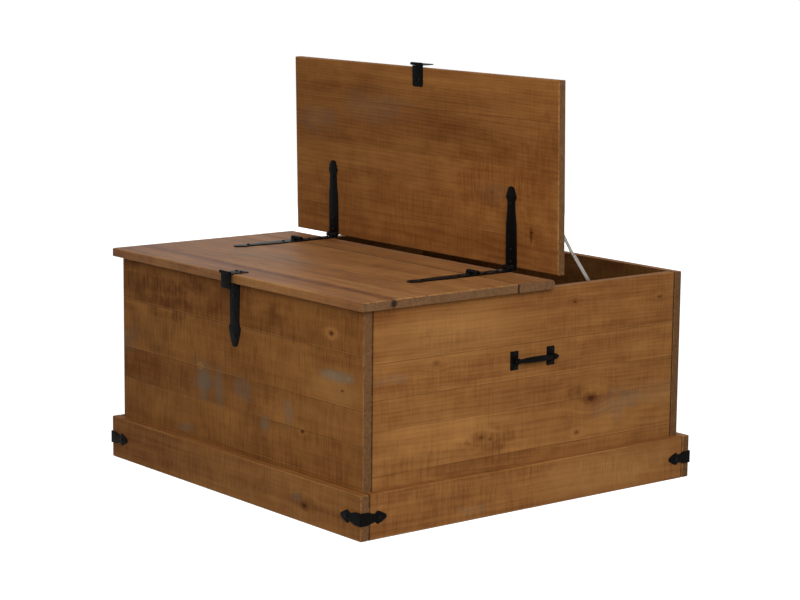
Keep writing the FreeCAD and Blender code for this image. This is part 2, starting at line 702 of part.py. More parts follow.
def build_stay_lid_bracket():
    """The angle bracket under the rear lid: a foot on the board and an ear for the upper link."""
    ear_x = (LID_EAR_X, LID_EAR_X + STAY_PLATE_THICKNESS)
    foot_y = (STAY_LID_Y - STAY_FOOT_LENGTH / 2, STAY_LID_Y + STAY_FOOT_LENGTH / 2)
    foot_z = (LID_UNDERSIDE - STAY_PLATE_THICKNESS, LID_UNDERSIDE)
    foot = box((ear_x[1] - STAY_FOOT_WIDTH, ear_x[1]), foot_y, foot_z)
    foot_top = Vector(ear_x[0], foot_y[0], LID_UNDERSIDE)
    foot_end = Vector(ear_x[0], foot_y[1], LID_UNDERSIDE)
    right = Vector(ear_x[0], STAY_LID_Y + STAY_EAR_RADIUS, STAY_LID_Z)
    left = Vector(ear_x[0], STAY_LID_Y - STAY_EAR_RADIUS, STAY_LID_Z)
    ear = flat_face([foot_top, foot_end, right, left]).extrude(X_AXIS * STAY_PLATE_THICKNESS)
    pivot = Vector(ear_x[0], STAY_LID_Y, STAY_LID_Z)
    nose = rod(pivot, X_AXIS, STAY_EAR_RADIUS, STAY_PLATE_THICKNESS)
    hole = socket(pivot, X_AXIS, STAY_RIVET_RADIUS + PIN_FIT, STAY_PLATE_THICKNESS)
    return foot.fuse([ear, nose]).removeSplitter().cut(hole)


def build_stay_box_bracket():
    """The plate on the inside of the right end panel that carries the lower link."""
    half = STAY_BOX_PLATE_WIDTH / 2
    x = INNER_END - STAY_PLATE_THICKNESS
    tail = Vector(x, STAY_BOX_Y - half, STAY_BOX_Z - STAY_BOX_PLATE_TAIL)
    plate = Part.makeBox(STAY_PLATE_THICKNESS, STAY_BOX_PLATE_WIDTH, STAY_BOX_PLATE_TAIL, tail)
    crown = rod(Vector(x, STAY_BOX_Y, STAY_BOX_Z), X_AXIS, half, STAY_PLATE_THICKNESS)
    hole = socket(Vector(x, STAY_BOX_Y, STAY_BOX_Z), X_AXIS, STAY_RIVET_RADIUS + PIN_FIT,
                  STAY_PLATE_THICKNESS)
    return plate.fuse(crown).removeSplitter().cut(hole)


def build_stay_links(lid_pivot, box_pivot, elbow):
    """The two links of one stay, and the elbow rivet that the lower one carries."""
    upper = build_link(lid_pivot, elbow, STAY_UPPER_WIDTH, UPPER_LINK_X)
    lower = build_link(box_pivot, elbow, STAY_LOWER_WIDTH, LOWER_LINK_X)
    eye = socket(Vector(LOWER_LINK_X, elbow.y, elbow.z), X_AXIS, STAY_RIVET_RADIUS + PIN_FIT,
                 STAY_LINK_THICKNESS)
    rivet = build_rivet((LOWER_LINK_X, LOWER_LINK_X + STAY_LINK_THICKNESS), elbow.y, elbow.z,
                        (False, True))
    upper = upper.fuse(rivet_head(UPPER_LINK_X, elbow.y, elbow.z, -1))
    return {"stay_upper_link": upper, "stay_lower_link": lower.cut(eye),
            "stay_elbow_rivet": rivet}


# Assembly ---------------------------------------------------------------------------------------

def hinge_places():
    """The X of the left and the right hinge, by name."""
    place = HALF_LENGTH - HINGE_INSET
    return {"left": -place, "right": place}


def build_rear_lid():
    """Every piece that moves with the rear lid, with the lid shut, and the stay lid pivot."""
    down = Z_AXIS * -1
    lid = build_lid_board()
    pieces = {}
    screws = []
    for side, hinge_x in hinge_places().items():
        seats = [Vector(hinge_x, HINGE_Y + at, TOP + STRAP_THICKNESS) for at in STRAP_SCREWS_AT]
        fixing = Fixing(seats, down, STRAP_THICKNESS)
        pieces["strap_" + side] = fixing.drill(build_strap(hinge_x))
        lid = fixing.drill(lid)
        screws += fixing.screws
    half_pair = HASP_SCREW_SPACING / 2
    seats = [Vector(x, HASP_Y - HASP_SCREWS_AT, TOP + HASP_THICKNESS)
             for x in (-half_pair, half_pair)]
    fixing = Fixing(seats, down, HASP_THICKNESS)
    pieces["hasp_leaf"] = fixing.drill(build_hasp_leaf())
    lid = fixing.drill(lid)
    screws += fixing.screws
    pieces["lid_screws"] = as_group(screws)
    pieces["hasp_pin"] = build_pin(HASP_Y, HASP_Z, (-HASP_WIDTH / 2, HASP_WIDTH / 2),
                                   HASP_PIN_RADIUS, HASP_BARREL_RADIUS)
    pieces["hasp_flap"] = build_hasp_flap()

    foot_x = LID_EAR_X + STAY_PLATE_THICKNESS - STAY_FOOT_WIDTH / 2
    offset = STAY_FOOT_LENGTH / 4
    seats = [Vector(foot_x, STAY_LID_Y + y, LID_UNDERSIDE - STAY_PLATE_THICKNESS)
             for y in (-offset, offset)]
    fixing = Fixing(seats, Z_AXIS, STAY_PLATE_THICKNESS)
    pieces["stay_lid_bracket"] = fixing.drill(build_stay_lid_bracket())
    pieces["lid"] = fixing.drill(lid)
    pieces["stay_lid_screws"] = as_group(fixing.screws)
    rivet_end = UPPER_LINK_X + STAY_LINK_THICKNESS + STAY_LINK_GAP
    rivet = build_rivet((LID_EAR_X, rivet_end), STAY_LID_Y, STAY_LID_Z, (True, True))
    pieces["stay_lid_rivet"] = rivet
    return pieces


def build_lids():
    """Both lids: the front one shut, the rear one standing open, each with its folded stay."""
    nodes = {}
    shut_pivot = Vector(0, STAY_LID_Y, STAY_LID_Z)
    box_pivot = Vector(0, STAY_BOX_Y, STAY_BOX_Z)
    open_pivot = swing_open(Part.Vertex(shut_pivot)).Point
    elbow = open_elbow(open_pivot, box_pivot)
    shut_elbow = folded_elbow(shut_pivot, box_pivot, (elbow - open_pivot).Length,
                              (elbow - box_pivot).Length)
    for name, piece in build_rear_lid().items():
        nodes["rear_" + name] = swing_open(piece)
        nodes["front_" + name] = mirror_front(piece)
    for name, piece in build_stay_links(open_pivot, box_pivot, elbow).items():
        nodes["rear_" + name] = piece
    for name, piece in build_stay_links(shut_pivot, box_pivot, shut_elbow).items():
        nodes["front_" + name] = mirror_front(piece)
    return nodes


def add_box_ironwork(nodes):
    """Hinge leaves, pins, hasp straps and stay plates on the box, front and rear."""
    down = Z_AXIS * -1
    screws = []
    pins = []
    for side, hinge_x in hinge_places().items():
        seats = [Vector(hinge_x, HINGE_Y - at, TOP + STRAP_THICKNESS)
                 for at in BOARD_LEAF_SCREWS_AT]
        fixing = Fixing(seats, down, STRAP_THICKNESS)
        leaf = fixing.drill(build_board_leaf(hinge_x))
        nodes["rear_board_leaf_" + side] = leaf
        nodes["front_board_leaf_" + side] = mirror_front(leaf)
        front_holes = [mirror_front(hole) for hole in fixing.holes]
        nodes["centre_board"] = nodes["centre_board"].cut(fixing.holes + front_holes)
        half = STRAP_WIDTH / 2
        pin = build_pin(HINGE_Y, HINGE_Z, (hinge_x - half, hinge_x + half), HINGE_PIN_RADIUS,
                        PIN_HEAD_RADIUS)
        pins += [pin, mirror_front(pin)]
        screws += fixing.screws

    strap_top = BODY_HEIGHT - HASP_STRAP_TOP_GAP
    seats = [Vector(0, HALF_DEPTH + STRAP_THICKNESS, strap_top - at)
             for at in HASP_STRAP_SCREWS_AT]
    fixing = Fixing(seats, Y_AXIS * -1, STRAP_THICKNESS)
    strap = fixing.drill(build_hasp_strap())
    nodes["rear_hasp_strap"] = strap
    nodes["front_hasp_strap"] = mirror_front(strap)
    nodes["rear_panel"] = fixing.drill(nodes["rear_panel"])
    nodes["front_panel"] = mirror_front(nodes["rear_panel"])
    screws += fixing.screws

    stay_x = INNER_END - STAY_PLATE_THICKNESS
    seats = [Vector(stay_x, STAY_BOX_Y, STAY_BOX_Z - at) for at in STAY_BOX_SCREWS_AT]
    fixing = Fixing(seats, X_AXIS, STAY_PLATE_THICKNESS)
    bracket = fixing.drill(build_stay_box_bracket())
    nodes["rear_stay_box_bracket"] = bracket
    nodes["front_stay_box_bracket"] = mirror_front(bracket)
    front_holes = [mirror_front(hole) for hole in fixing.holes]
    nodes["right_panel"] = nodes["right_panel"].cut(fixing.holes + front_holes)
    front_screws = [mirror_front(piece) for piece in fixing.screws]
    nodes["stay_box_screws"] = as_group(fixing.screws + front_screws)
    rivet = build_rivet((LOWER_LINK_X - STAY_LINK_GAP, INNER_END), STAY_BOX_Y, STAY_BOX_Z,
                        (True, False))
    nodes["stay_box_rivets"] = as_group([rivet, mirror_front(rivet)])
    nodes["hinge_pins"] = as_group(pins)
    return screws + [mirror_front(piece) for piece in screws]


def add_handles(nodes):
    """The two bar handles with their plates; returns their screws."""
    half = HANDLE_SPREAD / 2
    plates = []
    screws = []
    for y in (HANDLE_CENTRE - half, HANDLE_CENTRE + half):
        seats = [Vector(HALF_LENGTH + HANDLE_PLATE_THICKNESS, y, HANDLE_HEIGHT + z)
                 for z in (-HANDLE_SCREW_OFFSET, HANDLE_SCREW_OFFSET)]
        fixing = Fixing(seats, X_AXIS * -1, HANDLE_PLATE_THICKNESS)
        plates.append(fixing.drill(build_handle_plate(y)))
        left_holes = [mirror_left(hole) for hole in fixing.holes]
        nodes["right_panel"] = fixing.drill(nodes["right_panel"])
        nodes["left_panel"] = nodes["left_panel"].cut(left_holes)
        screws += fixing.screws
    bar = build_handle_bar()
    nodes["right_handle_plates"] = as_group(plates)
    nodes["left_handle_plates"] = as_group([mirror_left(plate) for plate in plates])
    nodes["right_handle_bar"] = bar
    nodes["left_handle_bar"] = mirror_left(bar)
    return screws + [mirror_left(piece) for piece in screws]


def add_corner_brackets(nodes):
    """Four corner brackets on the plinth and their screws."""
    corner_x = HALF_LENGTH + PLINTH_THICKNESS
    corner_y = HALF_DEPTH + PLINTH_THICKNESS
    rear_seat = Vector(corner_x - BRACKET_SCREW_AT, corner_y + BRACKET_THICKNESS, BRACKET_HEIGHT)
    side_seat = Vector(corner_x + BRACKET_THICKNESS, corner_y - BRACKET_SCREW_AT, BRACKET_HEIGHT)
    rear = Fixing([rear_seat], Y_AXIS * -1, BRACKET_THICKNESS)
    side = Fixing([side_seat], X_AXIS * -1, BRACKET_THICKNESS)
    bracket = side.drill(rear.drill(build_corner_bracket()))
    nodes["corner_bracket_rear_right"] = bracket
    nodes["corner_bracket_front_right"] = mirror_front(bracket)
    nodes["corner_bracket_rear_left"] = mirror_left(bracket)
    nodes["corner_bracket_front_left"] = mirror_left(mirror_front(bracket))
    rear_holes = rear.holes + [mirror_left(hole) for hole in rear.holes]
    side_holes = side.holes + [mirror_front(hole) for hole in side.holes]
    nodes["rear_plinth"] = nodes["rear_plinth"].cut(rear_holes)
    nodes["front_plinth"] = mirror_front(nodes["rear_plinth"])
    nodes["right_plinth"] = nodes["right_plinth"].cut(side_holes)
    nodes["left_plinth"] = mirror_left(nodes["right_plinth"])
    corner = rear.screws + side.screws
    right = corner + [mirror_front(piece) for piece in corner]
    nodes["corner_bracket_screws"] = as_group(right + [mirror_left(piece) for piece in right])


def build_trunk():
    """Every piece of the trunk, by node name."""
    nodes = build_box()
    nodes.update(build_lids())
    screws = add_box_ironwork(nodes)
    screws += add_handles(nodes)
    nodes["box_screws"] = as_group(screws)
    add_corner_brackets(nodes)
    return nodes


def main():
    """Write one STEP file per node."""
    os.makedirs("parts", exist_ok=True)
    for name, shape in build_trunk().items():
        shape.exportStep("parts/" + name + ".step")


main()
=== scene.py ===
"""Dresses a square pine storage trunk: stained boards, forged black ironwork, folding lid stays.

Sizes are in millimetres, and meshes are scaled to metres when they are made. The camera's and the
studio's places are in metres. The front lid is shut and the rear lid stands open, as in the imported
frame that every piece is fitted to.
"""
import logging
import math
import random
from dataclasses import dataclass
from enum import Enum
from typing import Iterable, Sequence, Union

import bmesh
import bpy
from mathutils import Matrix, Vector


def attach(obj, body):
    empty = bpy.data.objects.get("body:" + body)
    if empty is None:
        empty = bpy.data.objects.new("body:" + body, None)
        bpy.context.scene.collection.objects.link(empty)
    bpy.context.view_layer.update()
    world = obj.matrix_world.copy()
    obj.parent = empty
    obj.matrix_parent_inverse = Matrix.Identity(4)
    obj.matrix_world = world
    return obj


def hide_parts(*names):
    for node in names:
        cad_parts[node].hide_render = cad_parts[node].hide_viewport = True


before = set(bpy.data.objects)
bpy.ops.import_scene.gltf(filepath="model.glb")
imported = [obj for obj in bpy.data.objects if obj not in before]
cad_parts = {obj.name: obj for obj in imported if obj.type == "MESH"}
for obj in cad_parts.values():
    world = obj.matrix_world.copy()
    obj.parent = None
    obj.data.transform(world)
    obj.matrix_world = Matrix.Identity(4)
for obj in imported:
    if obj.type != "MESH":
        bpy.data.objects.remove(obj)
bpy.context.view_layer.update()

LOG = logging.getLogger("trunk")
MM = 0.001

# The trunk's planes and axes in millimetres, with both lids shut, and how far the lid opens
BODY_TOP = 417.7
LID_UNDERSIDE = 418.0
TOP = 435.0
HALF_BOX = 400.0
INNER_END = 382.0
LID_EDGE = 415.0
PLINTH_OUT = 18.0
HINGE_X = 283.0
HINGE_Y = 46.25
HINGE_Z = 441.0
OPEN_ANGLE = 91.25

ALONG_X = Vector((1.0, 0.0, 0.0))
ALONG_Y = Vector((0.0, 1.0, 0.0))
UP = Vector((0.0, 0.0, 1.0))

Material = bpy.types.Material
Socket = bpy.types.NodeSocket
Sockets = list[Socket]
Signal = Union[float, Socket]
Colour = tuple[float, float, float]
Paint = Union[Colour, Socket]


# ---- Shader graphs ----

class Axis(Enum):
    """One axis of the trunk, and its place in a vector."""

    X = 0
    Y = 1
    Z = 2


class Slot(Enum):
    """The record's material slots for metal."""

    IRON = "black_iron"
    SCREW = "iron_screw"
    STEEL = "stay_steel"


def srgb(red: int, green: int, blue: int) -> Colour:
    """Turns a screen colour of 0 to 255 into the linear colour that shaders work in.

    Args:
        red: The red part.
        green: The green part.
        blue: The blue part.

    Returns:
        The same colour as linear values from 0 to 1.
    """
    def linear(value: int) -> float:
        """Undoes the screen's gamma for one channel."""
        share = value / 255
        return share / 12.92 if share <= 0.04045 else ((share + 0.055) / 1.055) ** 2.4

    return linear(red), linear(green), linear(blue)


class Graph:
    """Adds nodes to a material or a world and links them, numbers and sockets alike."""

    def __init__(self, owner: Material | bpy.types.World) -> None:
        """Empties the owner's graph.

        Args:
            owner: What the graph belongs to.
        """
        owner.use_nodes = True
        self.owner = owner
        self.nodes = owner.node_tree.nodes
        self.links = owner.node_tree.links
        self.nodes.clear()

    @classmethod
    def of_material(cls, name: str) -> "Graph":
        """Starts a new material of this name."""
        return cls(bpy.data.materials.new(name))

    def node(self, kind: str, **settings: object) -> bpy.types.Node:
        """Adds a node of a kind, such as ShaderNodeMath, with its settings.

        Args:
            kind: The node's type name.
            settings: Properties of the node and their values.

        Returns:
            The new node.
        """
        made = self.nodes.new(kind)
        for key, value in settings.items():
            setattr(made, key, value)
        return made

    def feed(self, socket: Socket, value: object) -> None:
        """Links a socket to another socket, or sets it to a plain value.

        Args:
            socket: The input to fill.
            value: An output socket, a number or a colour.
        """
        if isinstance(value, Socket):
            self.links.new(value, socket)
        elif isinstance(value, tuple) and len(value) == 3 and socket.type == "RGBA":
            socket.default_value = (*value, 1.0)
        else:
            socket.default_value = value

    def math(self, operation: str, *values: Signal, clamp: bool = False) -> Socket:
        """One arithmetic step.

        Args:
            operation: The step's name, such as MULTIPLY.
            values: Its operands, numbers or sockets.
            clamp: True keeps the result between 0 and 1.

        Returns:
            The socket with the result.
        """
        step = self.node("ShaderNodeMath", operation=operation, use_clamp=clamp)
        for socket, value in zip(step.inputs, values):
            self.feed(socket, value)
        return step.outputs[0]

    def plus(self, first: Signal, second: Signal) -> Socket:
        """The sum of two values."""
        return self.math("ADD", first, second)

    def minus(self, first: Signal, second: Signal, clamp: bool = False) -> Socket:
        """The first value less the second."""
        return self.math("SUBTRACT", first, second, clamp=clamp)

    def times(self, first: Signal, second: Signal, clamp: bool = False) -> Socket:
        """The product of two values."""
        return self.math("MULTIPLY", first, second, clamp=clamp)

    def scaled(self, value: Signal, factor: Signal, offset: Signal) -> Socket:
        """A value times a factor, plus an offset."""
        return self.math("MULTIPLY_ADD", value, factor, offset)

    def larger(self, first: Signal, second: Signal) -> Socket:
        """The larger of two values."""
        return self.math("MAXIMUM", first, second)

    def size(self, value: Signal) -> Socket:
        """A value without its sign."""
        return self.math("ABSOLUTE", value)

    def length(self, first: Signal, second: Signal) -> Socket:
        """The length of a line, by its parts along two axes."""
        return self.math("SQRT", self.plus(self.times(first, first), self.times(second, second)))

    def span(self, value: Signal, low: float, high: float, start: float = 0.0,
             end: float = 1.0) -> Socket:
        """Maps a value smoothly from one span to another, and holds it at the ends.

        Args:
            value: What is mapped.
            low: Where the change begins.
            high: Where the change ends.
            start: The result below low.
            end: The result above high.

        Returns:
            The socket with the result.
        """
        step = self.node("ShaderNodeMapRange", interpolation_type="SMOOTHSTEP")
        for socket, given in zip(step.inputs, (value, low, high, start, end)):
            self.feed(socket, given)
        return step.outputs[0]

    def vector(self, x: Signal, y: Signal, z: Signal) -> Socket:
        """Joins three values into a vector.

        Args:
            x: The first part.
            y: The second part.
            z: The third part.

        Returns:
            The vector's socket.
        """
        joined = self.node("ShaderNodeCombineXYZ")
        for socket, value in zip(joined.inputs, (x, y, z)):
            self.feed(socket, value)
        return joined.outputs[0]

    def parts(self, vector: Socket) -> Sockets:
        """Splits a vector into its three parts.

        Args:
            vector: The vector's socket.

        Returns:
            The sockets of its parts.
        """
        split = self.node("ShaderNodeSeparateXYZ")
        self.feed(split.inputs[0], vector)
        return list(split.outputs)

    def noise(self, vector: Socket, scale: float, detail: float = 2.0,
              rough: float = 0.5) -> Socket:
        """Smooth noise between 0 and 1.

        Args:
            vector: Where the noise is read.
            scale: How many features fit into one unit.
            detail: How many finer layers are added.
            rough: How strong the finer layers are.

        Returns:
            The socket with the noise.
        """
        made = self.node("ShaderNodeTexNoise")
        for name, value in (("Vector", vector), ("Scale", scale), ("Detail", detail),
                            ("Roughness", rough)):
            self.feed(made.inputs[name], value)
        return made.outputs["Fac"]

    def mix(self, share: Signal, first: Paint, second: Paint, blend: str = "MIX") -> Socket:
        """Mixes two colours.

        Args:
            share: How much of the second colour there is.
            first: The first colour or its socket.
            second: The second colour or its socket.
            blend: The kind of mix, such as MULTIPLY.

        Returns:
            The socket with the mixed colour.
        """
        made = self.node("ShaderNodeMix", data_type="RGBA", blend_type=blend)
        made.clamp_factor = True
        self.feed(made.inputs["Factor"], share)
        self.feed(made.inputs[6], first)
        self.feed(made.inputs[7], second)
        return made.outputs[2]

    def ramp(self, value: Signal, stops: Sequence[tuple[float, Colour]],
             steps: bool = False) -> Socket:
        """A colour that depends on a value from 0 to 1.

        Args:
            value: The value that is looked up.
            stops: Pairs of a value and its colour, in rising order.
            steps: True holds each colour up to the next stop.

        Returns:
            The colour's socket.
        """
        made = self.node("ShaderNodeValToRGB")
        made.color_ramp.interpolation = "CONSTANT" if steps else "LINEAR"
        elements = made.color_ramp.elements
        while len(elements) < len(stops):
            elements.new(1.0)
        for element, (place, colour) in zip(elements, stops):
            element.position = place
            element.color = (*colour, 1.0)
        self.feed(made.inputs[0], value)
        return made.outputs[0]

    def finish(self, colour: Paint, rough: Signal, height: Signal, depth: float,
               constants: dict[str, float]) -> Material:
        """Closes the graph with one surface shader.

        Args:
            colour: The surface colour.
            rough: The roughness.
            height: The relief, from 0 to 1.
            depth: The depth in millimetres that a relief of 1 stands for.
            constants: Values that are the same all over the surface.

        Returns:
            The finished material.
        """
        shader = self.node("ShaderNodeBsdfPrincipled")
        output = self.node("ShaderNodeOutputMaterial")
        relief = self.node("ShaderNodeBump")
        relief.inputs["Distance"].default_value = depth * MM
        self.feed(relief.inputs["Height"], height)
        self.links.new(relief.outputs[0], shader.inputs["Normal"])
        self.feed(shader.inputs["Base Color"], colour)
        self.feed(shader.inputs["Roughness"], rough)
        for name, value in constants.items():
            shader.inputs[name].default_value = value
        self.links.new(shader.outputs[0], output.inputs[0])
        return self.owner


# ---- Pine ----

@dataclass(frozen=True)
class Knot:
    """A knot: its place along and across the grain, its radius, and how dark and haloed it is.

    A knot with a level shows in the end grain, at that level.
    """

    along: float
    across: float
    radius: float
    dark: float = 0.8
    pale: float = 0.0
    level: float | None = None


@dataclass(frozen=True)
class Patch:
    """A patch of another tint, for stains and for painted shade.

    The raggeder it is, the more its edges wander.
    """

    along: float
    across: float
    length: float
    width: float
    strength: float
    tint: Colour
    ragged: float = 1.0


@dataclass(frozen=True)
class Layer:
    """A layer of noise in the grain.

    Scale is its features per metre across the grain, and stretch is its scale along the grain as a
    share of that. Contrast is how much it lightens and darkens the wood.
    """

    stretch: float
    scale: float
    detail: float
    contrast: float = 0.0


FIBRES = Layer(0.035, 560.0, 3.0)
STREAKS = Layer(0.035, 95.0, 4.0, 0.60)
BANDS = Layer(0.06, 26.0, 2.0, 0.55)
BLOTCHES = Layer(0.55, 8.0, 3.0, 0.85)
MOTTLES = Layer(0.65, 30.0, 5.0, 0.55)
SWAY = Layer(0.16, 12.0, 2.0)

# The shade across one growth ring, from pale early wood to dark late wood and back
RING_SHADES = ((0.0, 0.05), (0.45, 0.22), (0.80, 0.95), (0.90, 0.75), (1.0, 0.05))

GREY_STAIN = srgb(113, 112, 99)
# A dark stain, also used for painted shade on the front panel
DARK_STAIN_AND_SHADE = srgb(84, 46, 20)
# A pale stain, also used for the painted highlight on worn edges
PALE_STAIN_AND_HIGHLIGHT = srgb(206, 154, 92)
RUSTY_STAIN = srgb(116, 62, 22)
KNOT_RIM = srgb(100, 54, 22)
KNOT_CORE = srgb(50, 26, 12)
END_KNOT_CORE = srgb(34, 20, 10)
# The glue lines' dark colour, also the painted contact shadow along the plinth's bottom edge
SEAM_AND_CONTACT_SHADOW = srgb(62, 34, 16)
# The colour of the painted shadow in the gaps between boards
GAP_SHADOW = srgb(40, 22, 10)


@dataclass(frozen=True)
class PineFinish:
    """Brown wax-stained pine: a solid grain, so that faces, edges and end grain agree.

    Reach, seams, ring, joint, gap and relief are in millimetres. The seed picks the planks' tones,
    swung is for the lid that stands open, and the other numbers are strengths. The dark lines where
    a board meets the next one are painted shadow in the gap, the inner faces can be darkened with
    painted shade, and the worn edges are partly wear and partly a painted highlight.
    """

    name: str
    grain: Axis
    width: Axis
    reach: tuple[float, float]
    seams: tuple[float, ...] = ()
    knots: tuple[Knot, ...] = ()
    patches: tuple[Patch, ...] = ()
    pale: Colour = srgb(173, 121, 67)
    deep: Colour = srgb(110, 65, 32)
    end: Colour = srgb(88, 58, 34)
    end_pale: Colour = srgb(122, 90, 60)
    saw_marks: float = 0.4
    rings: float = 0.13
    plank_contrast: float = 0.22
    mottling: float = 1.0
    streaking: float = 1.0
    fibre: float = 0.22
    ring: float = 5.2
    seed: int = 1
    swung: bool = False
    specular: float = 0.025
    # The painted shade on the inner faces, as a factor on their colour; 1 is none
    inner_painted_shade: float = 1.0
    worn: float = 0.2
    seam_dark: float = 0.5
    seam_pale: float = 0.22
    joint: float | None = None
    gap: float | None = None
    relief: float = 0.35

    def material(self) -> Material:
        """Builds the finish.

        Returns:
            The material, with its grain fixed to the board.
        """
        graph = Graph.of_material(self.name)
        place = graph.node("ShaderNodeTexCoord")
        parts, normal = self._board_axes(graph, place)
        along, across, deep = parts
        tone, pith, hue = self._planks(graph, across)
        bent, halo, rim, core = self._bend_round_knots(graph, along, across, deep)
        grain_at = graph.vector(graph.plus(along, graph.times(pith, 3.0)), bent,
                                graph.plus(deep, graph.times(hue, 2.0)))
        late = self._rings(graph, grain_at, along, bent, deep, pith, hue)
        fibre, streak, band, blotch, mottle = (
            self._stretched_noise(graph, grain_at, layer)
            for layer in (FIBRES, STREAKS, BANDS, BLOTCHES, MOTTLES))
        saw = self._saw_marks(graph, along, across)
        dark = graph.scaled(graph.minus(late, 0.35), self.rings, 0.5)
        for noise, contrast in ((blotch, BLOTCHES.contrast * self.mottling),
                                (mottle, MOTTLES.contrast * self.mottling),
                                (streak, STREAKS.contrast * self.streaking),
                                (band, BANDS.contrast * self.streaking),
                                (tone, self.plank_contrast)):
            dark = graph.scaled(graph.minus(noise, 0.5), -contrast, dark)
        dark = graph.scaled(saw, 0.34 * self.saw_marks, dark)
        dark = graph.minus(dark, graph.times(halo, 0.45), clamp=True)
        colour = graph.mix(dark, self.pale, self.deep)
        colour = self._shade(graph, colour, fibre, 1.0 - self.fibre, 1.0 + self.fibre)
        colour = self._patches(graph, colour, along, across, mottle, saw)
        colour = graph.mix(rim, colour, KNOT_RIM)
        colour = graph.mix(core, colour, KNOT_CORE)
        colour, seam = self._seams(graph, colour, across, streak)
        # Painted shade: the panels' inner faces are darkened, where the walls and the open lid shade
        # the inside of the box
        if self.inner_painted_shade < 1.0:
            depth = graph.span(graph.size(deep), (INNER_END + 0.2) * MM, (INNER_END + 1.0) * MM)
            colour = self._shade(graph, colour, depth, self.inner_painted_shade, 1.0)
        # Painted shadow: a dark line where the board meets the next one, in the gap at the corner
        if self.joint is not None:
            edge = graph.span(graph.size(along), (self.joint - 4.2) * MM,
                              (self.joint - 3.0) * MM, 0.0, 0.85)
            colour = graph.mix(edge, colour, GAP_SHADOW)
        is_end = graph.span(graph.size(normal[0]), 0.60, 0.85)
        colour = graph.mix(is_end, colour, self._end_grain(graph, parts, late, mottle, core))
        # Painted shadow: a dark line along the gap beside the next board
        if self.gap is not None:
            beside = graph.size(graph.minus(across, self.gap * MM))
            colour = graph.mix(graph.span(beside, 1.0 * MM, 2.4 * MM, 0.85, 0.0), colour,
                               GAP_SHADOW)
        # Worn edges: partly real wear and partly a painted highlight along the arrises
        colour = graph.mix(self._worn_and_highlit_edges(graph, normal, streak), colour, PALE_STAIN_AND_HIGHLIGHT)
        height = graph.scaled(fibre, 0.45, graph.times(late, 0.25))
        height = graph.minus(height, graph.times(saw, 0.6 * self.saw_marks))
        height = graph.minus(height, graph.times(seam, 0.9))
        height = graph.minus(height, graph.times(core, 0.8))
        rough = graph.scaled(fibre, 0.16, 0.44)
        rough = graph.scaled(is_end, 0.18, rough)
        return graph.finish(colour, rough, height, self.relief,
                            {"Specular IOR Level": self.specular})

    def _end_grain(self, graph: Graph, parts: Sockets, late: Signal, mottle: Signal,
                   core: Signal) -> Socket:
        """Colours the board's ends, where the grain's pores are cut across.

        Args:
            graph: The graph to add to.
            parts: The place along the grain, across it and through the board.
            late: How much dark late wood there is.
            mottle: Noise that clouds the colour.
            core: How much of a knot's core there is.

        Returns:
            The colour of the end grain.
        """
        pores = graph.noise(graph.vector(*parts), 170.0, 5.0, 0.7)
        dark = graph.scaled(late, 0.30, graph.times(mottle, 0.7))
        colour = self._shade(graph, graph.mix(dark, self.end_pale, self.end), pores, 0.25, 1.75)
        return graph.mix(core, colour, END_KNOT_CORE)

    def _worn_and_highlit_edges(self, graph: Graph, normal: Sockets, streak: Signal) -> Socket:
        """Finds the board's softened edges, where the stain has worn off in places.

        The pale edges are partly wear and partly a painted highlight.

        Args:
            graph: The graph to add to.
            normal: The three parts of the normal.
            streak: Noise that breaks up the wear.

        Returns:
            How worn the surface is, with its painted highlight.
        """
        facing, wide, flat = (graph.size(part) for part in normal)
        most = graph.larger(graph.larger(facing, wide), flat)
        arris = graph.span(most, 0.88, 0.96, 1.0, 0.0)
        worn = graph.times(arris, graph.span(streak, 0.42, 0.62))
        return graph.times(worn, self.worn)

    @staticmethod
    def _stretched_noise(graph: Graph, at: Socket, layer: Layer) -> Socket:
        """Noise drawn out along the grain.

        Args:
            graph: The graph to add to.
            at: Where the noise is read, with the grain along its first part.
            layer: The layer that is read.

        Returns:
            The socket with the noise.
        """
        squeezed = graph.node("ShaderNodeVectorMath", operation="MULTIPLY")
        graph.feed(squeezed.inputs[0], at)
        squeezed.inputs[1].default_value = (layer.stretch, 1.0, 1.0)
        return graph.noise(squeezed.outputs[0], layer.scale, layer.detail, 0.6)

    def _board_axes(self, graph: Graph, place: bpy.types.Node) -> tuple[Sockets, Sockets]:
        """Reads the point and the normal along the grain, across it and through the board.

        Args:
            graph: The graph to add to.
            place: The node with the coordinates.

        Returns:
            The three parts of the point, and the three parts of the normal.
        """
        point = place.outputs["Object"]
        normal = place.outputs["Normal"]
        if self.swung:
            point = self._shut(graph, point, (0.0, HINGE_Y * MM, HINGE_Z * MM))
            normal = self._shut(graph, normal, (0.0, 0.0, 0.0))
        order = [self.grain, self.width]
        order += [axis for axis in Axis if axis not in order]
        point_parts = graph.parts(point)
        normal_parts = graph.parts(normal)
        return ([point_parts[axis.value] for axis in order],
                [normal_parts[axis.value] for axis in order])

    @staticmethod
    def _shut(graph: Graph, vector: Socket, centre: tuple[float, float, float]) -> Socket:
        """Turns a point or normal of the open lid back to where it is when the lid is shut.

        Args:
            graph: The graph to add to.
            vector: The point or the normal.
            centre: The hinge for a point, or the origin for a normal.

        Returns:
            The socket with the turned vector.
        """
        turn = graph.node("ShaderNodeVectorRotate", rotation_type="X_AXIS")
        graph.feed(turn.inputs["Vector"], vector)
        turn.inputs["Center"].default_value = centre
        turn.inputs["Angle"].default_value = -math.radians(OPEN_ANGLE)
        return turn.outputs[0]

